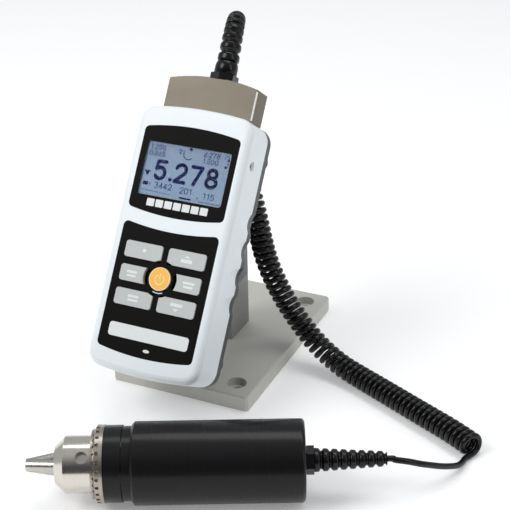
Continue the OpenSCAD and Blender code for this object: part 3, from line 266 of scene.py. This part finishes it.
DRESS = {
    "white": ["front_shell"], "dark": ["rear_cover"],
    "panel": ["upper_bezel", "keypad_overlay", "keypad_board"],
    "window": ["display_window"], "display": ["lcd_screen"], "frame": ["lcd_frame"],
    "key": ["key_top_left", "key_top_right", "key_mid_left", "key_mid_right", "key_low_left",
            "key_low_right"],
    "orange": ["key_power"], "stand": ["stand_base", "mounting_plate"], "post": ["stand_post"],
    "bracket": ["plate_bracket"], "plug": ["plug_housing"],
    "chuck": ["chuck_body"], "sleeve": ["chuck_sleeve"],
    "jaw": ["chuck_jaw_1", "chuck_jaw_2", "chuck_jaw_3"],
    "steel": ["column_screws", "plate_screws", "indicator_screws", "housing_screws",
              "retaining_screws", "cap_screws", "key_domes", "io_port", "usb_port",
              "shaft_bearings", "torsion_shaft", "chuck_nut"],
    "black_metal": ["sensor_housing", "sensor_rear_cap", "sensor_front_cap", "sleeve_grip"],
    "gland": ["top_gland_body", "sensor_gland_body", "plug_insert", "sensor_receptacle",
              "power_jack"],
    "rubber": ["top_strain_relief", "sensor_strain_relief", "cord_lead_top", "cord_coil",
               "cord_lead_sensor"],
    "board": ["main_board", "plug_board", "gauge_board"],
    "battery": ["battery_pack"], "foot": ["rubber_feet"],
}
for key, names in DRESS.items():
    for name in names:
        o = nodes[name]
        o.data.materials.clear()
        o.data.materials.append(M[key])


# Mesh helpers
def piece(name, verts, faces, material, body="stand", smooth=False, slot=None):
    """A new mesh in metres, in a material of M, that rides on the body."""
    mesh = bpy.data.meshes.new(name)
    mesh.from_pydata([tuple(v) for v in verts], [], faces)
    mesh.validate()
    o = bpy.data.objects.new(name, mesh)
    bpy.context.scene.collection.objects.link(o)
    bm = bmesh.new()
    bm.from_mesh(mesh)
    bmesh.ops.recalc_face_normals(bm, faces=bm.faces)
    bm.to_mesh(mesh)
    bm.free()
    for p in mesh.polygons:
        p.use_smooth = smooth
    mesh.materials.append(M[material])
    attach(o, body)
    return o


def merge(name, parts, material, body="stand", slot=None, smooth=False):
    """Joins (verts, faces) pairs into one piece."""
    verts, faces = [], []
    for v, f in parts:
        base = len(verts)
        verts += list(v)
        faces += [tuple(i + base for i in q) for q in f]
    return piece(name, verts, faces, material, body, smooth, slot)


def angles(sides):
    return [2 * math.pi * k / sides for k in range(sides)]


def skin(rings):
    """Verts and faces of a closed skin over rings of as many points each, with flat ends."""
    n = len(rings[0])
    faces = []
    for r in range(len(rings) - 1):
        for i in range(n):
            a, b = r * n + i, r * n + (i + 1) % n
            faces.append((a, b, b + n, a + n))
    last = (len(rings) - 1) * n
    faces.append(tuple(range(n - 1, -1, -1)))
    faces.append(tuple(range(last, last + n)))
    return [p for ring in rings for p in ring], faces


TINY = 1e-6
ROUND = 12                               # sides of a small round print
PRINT_T = 0.05                           # thickness of a print
END_LIFT = 0.002                         # keeps a stroke's ends out of its plane


def decal(outline, w, thick, bevel=0.03):
    """A thin raised print on the face: outline of (across, up) points in millimetres at depth w."""
    cx = sum(p[0] for p in outline) / len(outline)
    cy = sum(p[1] for p in outline) / len(outline)

    def pull(p):
        dx, dy = p[0] - cx, p[1] - cy
        length = max(math.hypot(dx, dy), TINY)
        return (p[0] - dx / length * bevel, p[1] - dy / length * bevel)

    rings = [[face_point(x, w, y) for x, y in outline]]
    if bevel:
        rings.append([face_point(x, w - thick + bevel, y) for x, y in outline])
    rings.append([face_point(x, w - thick, y) for x, y in map(pull, outline)])
    return skin(rings)


def round_box(cx, cy, w, h, r, steps=5):
    """Outline of a box about (cx, cy) with round corners."""
    out = []
    for sx, sy, a in ((1, 1, 0), (-1, 1, 90), (-1, -1, 180), (1, -1, 270)):
        for k in range(steps + 1):
            t = math.radians(a + 90 * k / steps)
            out.append((cx + sx * (w / 2 - r) + r * math.cos(t),
                        cy + sy * (h / 2 - r) + r * math.sin(t)))
    return out


def disc(cx, cy, r, steps=24, ry=None):
    """Outline of a disc, or of an oval of half height ry."""
    return [(cx + r * math.cos(t), cy + (ry or r) * math.sin(t)) for t in angles(steps)]


def stroke(points, width, w, thick=PRINT_T):
    """A monoline stroke with round ends and joints, as a flat raised ribbon."""
    out = []
    r = width / 2
    for a, b in zip(points, points[1:]):
        dx, dy = b[0] - a[0], b[1] - a[1]
        length = max(math.hypot(dx, dy), TINY)
        nx, ny = -dy / length * r, dx / length * r
        out.append(decal([(a[0] + nx, a[1] + ny), (a[0] - nx, a[1] - ny),
                          (b[0] - nx, b[1] - ny), (b[0] + nx, b[1] + ny)], w, thick, 0))
    for x, y in points:
        out.append(decal(disc(x, y, r, ROUND), w, thick + END_LIFT, 0))
    return out


def arc(cx, cy, rx, ry, a0, a1, steps=10):
    """Points of an arc from angle a0 to a1 in degrees."""
    turns = [math.radians(a0 + (a1 - a0) * k / steps) for k in range(steps + 1)]
    return [(cx + rx * math.cos(t), cy + ry * math.sin(t)) for t in turns]


# Monoline digits that the display shows, each 1 high
DIGITS = {
    "0": [arc(0.31, 0.69, 0.31, 0.31, 0, 180) + arc(0.31, 0.31, 0.31, 0.31, 180, 360)
          + [(0.62, 0.69)]],
    "1": [[(0.08, 0.82), (0.33, 1), (0.33, 0)]],
    "2": [arc(0.31, 0.70, 0.30, 0.30, 165, -35) + [(0.0, 0.0), (0.62, 0.0)]],
    "3": [arc(0.29, 0.76, 0.27, 0.24, 150, -90) + arc(0.29, 0.27, 0.31, 0.27, 90, -150)],
    "4": [[(0.62, 0.27), (0, 0.27), (0.45, 1), (0.45, 0)]],
    "5": [[(0.58, 1), (0.08, 1), (0.03, 0.55)] + arc(0.29, 0.33, 0.31, 0.33, 120, -150)],
    "6": [arc(0.31, 0.31, 0.31, 0.31, 90, 450, 16), [(0.5, 1), (0.03, 0.42)]],
    "7": [[(0, 1), (0.62, 1), (0.22, 0)]],
    "8": [arc(0.31, 0.76, 0.25, 0.24, -90, 270, 16), arc(0.31, 0.26, 0.31, 0.26, -90, 270, 16)],
}
DIGIT_WIDE, ONE_WIDE, DIGIT_GAP, POINT_WIDE = 0.62, 0.45, 0.14, 0.2     # shares of the height


def number(text, x, y, h, width, w):
    """Digits and points of height h and stroke width, from (x, y), at depth w."""
    out = []
    for c in text:
        if c == ".":
            out.append(decal(disc(x + 0.02 * h, y + width / 4, width * 0.55, ROUND), w, PRINT_T, 0))
            x += POINT_WIDE * h + 0.45 * width
        else:
            for s in DIGITS[c]:
                out += stroke([(x + px * h, y + py * h) for px, py in s], width, w)
            x += (ONE_WIDE if c == "1" else DIGIT_WIDE) * h + width + DIGIT_GAP * h
    return out


# Cord, in millimetres
CORD_D = 3.6
COIL_D = 15.0
CURL_R = (COIL_D - CORD_D) / 2
CURLS = 58
PER = 22                                 # points of a curl
OPENING = 1.5                            # turns in which the coil opens out to its full width
CORD_SIDES = 10
LINE_STEPS, LEAD_STEPS = 8, 6            # points between two stations of a route
TOP_ROUTE = [(-8.5, 48.5, 209.5), (-12.5, 55, 202), (-16, 59, 192), (-18.5, 60.5, 181),
             (-19.5, 59.5, 170), (-18, 55.5, 159.5), (-14, 49, 150), (-8, 40.5, 142),
             (-1, 31.5, 139.5), (4, 22, 138.5), (8, 13, 137), (10.5, 8, 133.8), (11.7, 5.9, 129.8)]
COIL_ROUTE = [(13, 5.2, 126), (17.6, 3, 115.5), (21.4, 1.4, 104.8), (24.4, 0.4, 94), (27, 0, 83),
              (30, 0, 71), (35.2, -0.2, 58), (43.6, -0.8, 43.5), (55, -2, 29), (68.5, -4.6, 17),
              (85, -9.3, 9.6), (101.5, -15.6, 7.6), (118, -23.3, 7.5), (145.4, -36.4, 7.5),
              (169.2, -47.8, 7.5), (185.5, -57, 7.5)]
SENSOR_ROUTE = [(182.5, -66.5, 1.8), (181.5, -72.5, 3.2), (179, -79, 6.2), (175.5, -86, 10),
                (171.5, -92.5, 14), (167, -98.5, 17.8), (161.5, -103, 20.8), (155, -106.4, 22.4)]


def spline(points, steps):
    """A smooth line through the points."""
    p = [Vector(q) for q in points]
    out = []
    for i in range(len(p) - 1):
        a, b, c, d = p[max(i - 1, 0)], p[i], p[i + 1], p[min(i + 2, len(p) - 1)]
        for k in range(steps):
            f = k / steps
            out.append(0.5 * (2 * b + (c - a) * f + (2 * a - 5 * b + 4 * c - d) * f * f
                              + (3 * b - a - 3 * c + d) * f ** 3))
    return out + [p[-1]]


def sensor_point(at):
    """The point on the sensor's axis at this distance from its front."""
    return SENSOR @ Vector((0, 0, at * MM)) / MM


line = spline(COIL_ROUTE, LINE_STEPS)
stops = [0.0]
for a, b in zip(line, line[1:]):
    stops.append(stops[-1] + (b - a).length)
coil_l = stops[-1]


def coil_at(s):
    """The coil's middle line at this length."""
    s = min(max(s, 0), coil_l)
    for i in range(len(stops) - 1):
        if s <= stops[i + 1]:
            f = (s - stops[i]) / (stops[i + 1] - stops[i])
            return line[i].lerp(line[i + 1], f)
    return line[-1]


REF = Vector((0.5, 0.85, 0))


def across(t):
    """The direction that the curls' turns are counted from, square to the line."""
    return (REF - REF.dot(t) * t).normalized()


def coil_way(s):
    """The direction of the coil's middle line at this length."""
    return (coil_at(min(s + CORD_D, coil_l)) - coil_at(max(s - CORD_D, 0))).normalized()


# Curls stand closer where the line is straight, as in the solids
CROWD_STEPS = 64
crowd_s = [2 * CORD_D + (coil_l - 2 * CORD_D) * j / CROWD_STEPS for j in range(CROWD_STEPS + 1)]
crowd_sum = [0.0]
for q in crowd_s:
    turned_by = coil_way(min(q + CURL_R, coil_l)) - coil_way(max(q - CURL_R, 0))
    crowd_sum.append(crowd_sum[-1] + 1 - turned_by.length / 2)


def curl_place(turns):
    """The length along the middle line after this many turns."""
    want = crowd_sum[CROWD_STEPS] * turns / CURLS
    for j in range(CROWD_STEPS):
        if want <= crowd_sum[j + 1] or j == CROWD_STEPS - 1:
            f = (want - crowd_sum[j]) / (crowd_sum[j + 1] - crowd_sum[j])
            return crowd_s[j] + (crowd_s[j + 1] - crowd_s[j]) * f


def curl_point(turns):
    """Centre of the cord after this many turns of the coil."""
    s = curl_place(turns)
    t = coil_way(s)
    turn = math.radians(360 * (CURLS - turns) - 90)
    r = CURL_R * min(1, turns / OPENING)
    return coil_at(s) + r * (math.cos(turn) * across(t) + math.sin(turn) * t.cross(across(t)))


# The upper gland and both strain reliefs: the tails bend or run straight from root to tip
GLAND_SIDE, GLAND_W, GLAND_UP = 2.5, 20.25, 102.2
HEX_H, NUT_H = 4.5, 8.5
relief_root = Vector((GLAND_SIDE, GLAND_W, GLAND_UP + HEX_H + NUT_H))
relief_handle = Vector((-1.5, 0.7, 30))
relief_end = Vector((-8.5, 17.5, 30))
SENSOR_L, SENSOR_HEX_H, RELIEF_L = 94.6, 5, 40
SENSOR_RELIEF_FOOT = SENSOR_L + SENSOR_HEX_H


def from_case(p):
    """World millimetres of a point given across, behind and up the face."""
    return Vector((p.x, p.y * math.cos(TILT) + p.z * math.sin(TILT) + CASE_Y,
                   -p.y * math.sin(TILT) + p.z * math.cos(TILT) + CASE_Z))


relief_tip = from_case(relief_root + relief_end)
tip_way = (relief_tip - from_case(relief_root + relief_handle)).normalized()
curls = [curl_point(k / PER) for k in range(1, CURLS * PER + 1)]
out_way = curl_point(CURLS) - curl_point(CURLS - 1 / 8) + Vector((0, 0, CURL_R / 8))
out_way = Vector((out_way.x, out_way.y, 0)).normalized()
coil_end = curls[-1]
sensor_tip = sensor_point(SENSOR_RELIEF_FOOT + RELIEF_L)
lead_a = spline([relief_tip, relief_tip + tip_way * CORD_D, *TOP_ROUTE, COIL_ROUTE[0],
                 coil_at(CORD_D)], LEAD_STEPS)
lead_b = spline([coil_end, coil_end + out_way * CORD_D, coil_end + out_way * 2 * CORD_D,
                 *SENSOR_ROUTE, sensor_point(SENSOR_RELIEF_FOOT + RELIEF_L + CORD_D), sensor_tip],
                LEAD_STEPS)
route = [p * MM for p in lead_a + curls + lead_b[1:]]


def tube(path, radius, sides):
    """A round tube along the path with a steady frame, and its caps. radius is a number or a list."""
    n = len(path)
    radii = radius if isinstance(radius, list) else [radius] * n
    ways = [(path[min(i + 1, n - 1)] - path[max(i - 1, 0)]).normalized() for i in range(n)]
    side = ways[0].orthogonal().normalized()
    rings = []
    for place, way, r in zip(path, ways, radii):
        side = (side - side.dot(way) * way).normalized()
        other = way.cross(side)
        rings.append([place + r * (math.cos(t) * side + math.sin(t) * other)
                      for t in angles(sides)])
    return skin(rings)


cord = piece("curly_cord", *tube(route, CORD_D / 2 * MM, CORD_SIDES), "rubber", smooth=True,
             slot="black_rubber")
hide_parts("cord_lead_top", "cord_coil", "cord_lead_sensor")

# Face prints: depths behind the face, in millimetres
PANEL_W = -0.02                          # just proud of the panels
KEY_W = -0.8                             # the keys' faces
LCD_W = 1.46                             # the display's front face
STRIP_T = 0.08
SQUARES, FIRST_SQUARE, SQUARE_STEP = 7, -17.3, 5.85


def panel_print(name, outlines, thick=PRINT_T):
    merge(name, [decal(o, PANEL_W, thick) for o in outlines], "silk", slot="white_shell")


panel_print("bezel_squares", [round_box(FIRST_SQUARE + SQUARE_STEP * k, 21.3, 4.95, 4.5, 0.4)
                              for k in range(SQUARES)])
panel_print("label_strip", [round_box(0.45, -56, 52.3, 8.2, 1.9, 8)], STRIP_T)
panel_print("serial_oval", [disc(1.3, -65, 2.1, 24, 0.95)])

merge("display_reading", number("5.278", -19.2, 36.0, 10.4, 2.25, LCD_W), "ink", slot="display")
small = []
for text, x, y, h, width in (
        ("1.250", -25.6, 53.2, 2.7, 0.5), ("0.865", -25.6, 49.3, 2.7, 0.5),
        ("6.278", 9.6, 53.4, 2.7, 0.5), ("1.500", 9.6, 49.5, 2.7, 0.5),
        ("3442", -17.9, 30.4, 3.3, 0.55), ("201", -0.9, 29.8, 3.3, 0.55),
        ("115", 14.5, 28.8, 3.3, 0.5)):
    small += number(text, x, y, h, width, LCD_W)
merge("display_small_numbers", small, "ink_soft", slot="display")
solid_marks = [
    [(-26.4, 40.0), (-22.2, 40.0), (-24.3, 36.8)],
    round_box(-24.1, 32.2, 3.4, 2.2, 0.3), round_box(-21.3, 32.2, 0.6, 1.3, 0.1),
    round_box(3.4, 27.0, 7.6, 1.0, 0.3), disc(11.0, 28.6, 0.5, ROUND),
    disc(25.6, 53.4, 0.8, ROUND), disc(24.6, 49.0, 0.8, ROUND), disc(0.6, 56.2, 1.1, ROUND),
]
marks = [decal(o, LCD_W, PRINT_T, 0) for o in solid_marks]
marks += stroke(arc(-0.4, 53.0, 3.2, 3.0, 150, 320), 0.55, LCD_W)
merge("display_marks", marks, "ink", slot="display")
faint = []
for points, width in (
        ([(-26, 28.3), (-7, 27.7)], 0.3), ([(12, 26.8), (26, 26.6)], 0.3),
        (arc(24.6, 54.4, 1.3, 1.3, 0, 200), 0.4), ([(25.6, 49.6), (26.2, 51.2), (25.2, 51.6)], 0.4),
        ([(-6.9, 55.0), (-4.9, 55.0), (-5.9, 52.4), (-6.9, 55.0)], 0.45)):
    faint += stroke(points, width, LCD_W)
merge("display_scale", faint, "ink_soft", slot="display")


# The six grey keys are cut back round the power key and have rounded corners
POWER_UP = -22.1
NOTCH_R, NOTCH_STEPS = 10.9, 6
KEY_WIDE, KEY_H, KEY_IN, KEY_CORNER = 24.4, 9.8, 2.0, 1.7
KEY_OUT = KEY_IN + KEY_WIDE
KEY_FOOT, KEY_EDGE = 2.2, 0.2
PLUNGER_R, PLUNGER_FOOT = 2.0, 4.75
PLUNGER_SIDE, PLUNGER_MID_SIDE = 14.2, 18.2


def key_corner(x, y, sx, sy, turn):
    """Quarter round in a corner; turn gives which edge it starts from."""
    out = []
    for k in range(7):
        t = math.radians(15 * k)
        a, b = (math.sin(t), math.cos(t)) if turn else (math.cos(t), math.sin(t))
        out.append((x - sx * KEY_CORNER * (1 - a), y - sy * KEY_CORNER * (1 - b)))
    return out


def key_outline(side, cy, toward):
    """Outline of a key at side -1 or 1; toward is 1 above the power key, -1 below, 0 beside it."""
    sy = toward or 1
    near, far = cy - sy * KEY_H / 2, cy + sy * KEY_H / 2

    def notch(a):
        return (side * NOTCH_R * math.cos(a), POWER_UP + sy * NOTCH_R * math.sin(a))

    if toward:
        a0 = math.acos(math.sqrt(NOTCH_R ** 2 - (near - POWER_UP) ** 2) / NOTCH_R)
        a1 = math.acos(KEY_IN / NOTCH_R)
        pts = [notch(a0 + (a1 - a0) * k / NOTCH_STEPS) for k in range(NOTCH_STEPS + 1)]
        pts += key_corner(side * KEY_IN, far, -side, sy, False)
    else:
        a0 = math.asin(KEY_H / 2 / NOTCH_R)
        pts = [notch(a0 * k / NOTCH_STEPS) for k in range(-NOTCH_STEPS, NOTCH_STEPS + 1)]
    pts += key_corner(side * KEY_OUT, far, side, sy, True)
    pts += key_corner(side * KEY_OUT, near, side, -sy, False)
    return pts


for row, up, toward in (("top", -7.9, 1), ("mid", POWER_UP, 0), ("low", -36.3, -1)):
    for hand, side in (("left", -1), ("right", 1)):
        name = f"key_{row}_{hand}"
        plunger_x = side * (PLUNGER_SIDE if toward else PLUNGER_MID_SIDE)
        parts = [decal(key_outline(side, up, toward), KEY_FOOT, KEY_FOOT - KEY_W, KEY_EDGE),
                 decal(disc(plunger_x, up, PLUNGER_R, 20), PLUNGER_FOOT, PLUNGER_FOOT - KEY_FOOT, 0)]
        cap = merge(name + "_cap", parts, "key", name, slot="key_face")
        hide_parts(name)

KEY_PRINT_T, KEY_PRINT_BEVEL = 0.04, 0.01


def key_print(key, parts):
    merge("print_" + key, parts, "print", "key_" + key, slot="key_face")


def soft(*outlines):
    """Prints with a fine bevel."""
    return [decal(o, KEY_W, KEY_PRINT_T, KEY_PRINT_BEVEL) for o in outlines]


def sharp(*outlines):
    """Prints with square edges."""
    return [decal(o, KEY_W, KEY_PRINT_T, 0) for o in outlines]


key_print("top_left", soft(disc(-13.6, -7.6, 1.15, 20)))
key_print("top_right", sharp([(14.4, -5.6), (12.4, -7.0), (16.4, -7.0)])
          + soft(round_box(14.4, -8.9, 7.4, 2.2, 0.5)))
key_print("mid_left", soft(round_box(-18.6, -21.3, 6.8, 1.5, 0.4),
                           round_box(-18.6, -23.6, 6.0, 1.4, 0.4)))
key_print("mid_right", soft(round_box(18.8, -21.2, 7.6, 1.5, 0.4),
                            round_box(18.8, -23.5, 6.4, 1.4, 0.4)))
key_print("low_left", soft(round_box(-14.2, -35.3, 7.0, 1.6, 0.4),
                           round_box(-14.2, -37.6, 6.8, 1.4, 0.4)))
key_print("low_right", soft(round_box(14.2, -35.0, 7.8, 1.9, 0.4))
          + sharp([(12.2, -37.2), (16.2, -37.2), (14.2, -39.0)]))

RING = disc(0, 0, 1, 48)


def flat_ring(cx, cy, r0, r1, w, thick):
    """A thin flat ring on the face."""
    verts, faces = [], []
    for r, ww in ((r1, w), (r1, w - thick), (r0, w - thick), (r0, w)):
        verts += [face_point(cx + r * x, ww, cy + r * y) for x, y in RING]
    n = len(RING)
    for q in range(4):
        for i in range(n):
            j = (i + 1) % n
            a, b = q * n, (q + 1) % 4 * n
            faces.append((a + i, a + j, b + j, b + i))
    return verts, faces


RIM_IN, RIM_OUT, RIM_T = 6.35, 6.86, 0.06
SIGN_STROKE, SIGN_T, SIGN_R, SIGN_UP = 0.55, 0.03, 2.9, -22.5
LIGHT_R = 8.35
merge("power_rim", [flat_ring(0, POWER_UP, RIM_IN, RIM_OUT, KEY_W, RIM_T)], "rim", "key_power",
      slot="power_face")
power = stroke(arc(0, SIGN_UP, SIGN_R, SIGN_R, 125, 415, 20), SIGN_STROKE, KEY_W, SIGN_T)
power += stroke([(0, -18.6), (0, -22.0)], SIGN_STROKE, KEY_W, SIGN_T)
merge("power_sign", power, "rim", "key_power", slot="power_face")
merge("power_light", stroke(arc(0, POWER_UP, LIGHT_R, LIGHT_R, 250, 292, 10), SIGN_STROKE, PANEL_W),
      "silk", slot="white_shell")

# The plug's chamfered corner catches the light: a thin strip of painted highlight on it, from foot to
# top
EDGE_FOOT, EDGE_TOP = 80.4, 98.0
EDGE_SECTION = ((28.71, 12.01), (29.48, 12.78), (29.41, 12.85), (28.64, 12.08))
edge = [[face_point(x, w, v) for x, w in EDGE_SECTION] for v in (EDGE_FOOT, EDGE_TOP)]
piece("plug_corner_painted_highlight", *skin(edge), "edge", slot="plug_metal")

# Strain reliefs
RIBS, RIB_STEPS, GROOVE, RIB_START = 8, 14, 1.5, 0.27
RELIEF_SIDES = 28
ROOT_D, TOP_TIP_D, SENSOR_TIP_D = 13.4, 10.8, 8.4


def ribs(path_at, tip_d):
    """A ribbed tail along a path, given by a function of the share of its length."""
    pts, radii = [], []
    for k in range(RIB_STEPS * RIBS + 1):
        f = k / (RIB_STEPS * RIBS)
        place = (f * RIBS) % 1
        base = (ROOT_D + (tip_d - ROOT_D) * f) / 2
        dip = 0.5 - 0.5 * math.cos(2 * math.pi * (place - RIB_START))
        radii.append((base - GROOVE * dip ** 3) * MM)
        pts.append(path_at(f) * MM)
    return tube(pts, radii, RELIEF_SIDES)


def bend(f):
    return from_case(relief_root + 2 * f * (1 - f) * relief_handle + f * f * relief_end)


def straight(f):
    return sensor_point(SENSOR_RELIEF_FOOT + RELIEF_L * f)


def lathe(profile, place, sides=48):
    """A closed solid of revolution: profile of (radius, height) in millimetres, from foot to top."""
    return skin([[place @ Vector((r * math.cos(t) * MM, r * math.sin(t) * MM, h * MM))
                  for t in angles(sides)] for r, h in profile])


UP_CASE = FACE @ Matrix((
    (1, 0, 0, GLAND_SIDE * MM),
    (0, 0, 1, 0),
    (0, -1, 0, -GLAND_W * MM),
    (0, 0, 0, 1)))                       # Z runs up the face on the gland's axis
NUT_R, NUT_CHAMFER, NUT_STRAIGHT = 7, 0.4, 4.25
nut_foot = relief_root.z - NUT_H
dome = [(NUT_R - NUT_CHAMFER, nut_foot), (NUT_R, nut_foot + NUT_CHAMFER),
        (NUT_R, nut_foot + NUT_STRAIGHT)]
for degrees in range(6, 37, 6):
    a = math.radians(degrees)
    dome.append((NUT_R * math.cos(a), nut_foot + NUT_STRAIGHT + NUT_R * math.sin(a)))
relief = merge("top_relief_ribs", [ribs(bend, TOP_TIP_D), lathe(dome, UP_CASE)], "rubber",
               slot="black_rubber", smooth=True)
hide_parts("top_strain_relief")
sensor_relief = piece("sensor_relief_ribs", *ribs(straight, SENSOR_TIP_D), "rubber", smooth=True,
                      slot="black_rubber")
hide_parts("sensor_strain_relief")

# Floor and light
FLOOR_REACH, FLOOR_DROP = 3, 0.0003
FLOOR_GREY = (0.92, 0.92, 0.92)
bm = bmesh.new()
bmesh.ops.create_grid(bm, x_segments=2, y_segments=2, size=FLOOR_REACH)
floor_mesh = bpy.data.meshes.new("floor")
bm.to_mesh(floor_mesh)
bm.free()
floor = bpy.data.objects.new("floor", floor_mesh)
floor.location = (0, 0, -FLOOR_DROP)
bpy.context.scene.collection.objects.link(floor)
floor_mesh.materials.append(surface("floor", FLOOR_GREY, 0.8, vary=0.003, cloud_vary=0.003,
                                    Emission_Color=(1, 1, 1, 1), Emission_Strength=0.22))

DARK_SIDE = (0.35, -0.9, -0.25)          # the way to the dark side of the studio
WORLD_STRENGTH = 0.8
world = bpy.data.worlds.new("studio")
bpy.context.scene.world = world
world.use_nodes = True
wt = world.node_tree
back = wt.nodes["Background"]
ray = wt.nodes.new("ShaderNodeTexCoord")
dot = wt.nodes.new("ShaderNodeVectorMath")
dot.operation = "DOT_PRODUCT"
dot.inputs[1].default_value = DARK_SIDE
wt.links.new(ray.outputs["Generated"], dot.inputs[0])
fade = wt.nodes.new("ShaderNodeValToRGB")
color_stops(fade, (0.0, (0.62, 0.64, 0.66)), (0.75, (0.10, 0.10, 0.11)))
wt.links.new(dot.outputs["Value"], fade.inputs["Fac"])
wt.links.new(fade.outputs["Color"], back.inputs["Color"])
back.inputs["Strength"].default_value = WORLD_STRENGTH


def area(name, place, aim, size, power):
    """A rectangular light in watts, turned to its aim."""
    data = bpy.data.lights.new(name, "AREA")
    data.shape = "RECTANGLE"
    data.size, data.size_y = size
    data.energy = power
    o = bpy.data.objects.new(name, data)
    o.location = place
    o.rotation_mode = "QUATERNION"
    o.rotation_quaternion = (Vector(aim) - Vector(place)).to_track_quat("-Z", "Y")
    bpy.context.scene.collection.objects.link(o)


CASE_AIM = (0.05, -0.05, 0.08)
area("key_light", (-0.7, -0.9, 1.2), CASE_AIM, (0.8, 0.8), 11)
area("fill_light", (1.3, -0.3, 0.8), CASE_AIM, (0.3, 1.0), 2.2)
area("top_light", (0.1, 0.3, 1.5), (0.05, -0.05, 0.05), (1.2, 0.5), 6)
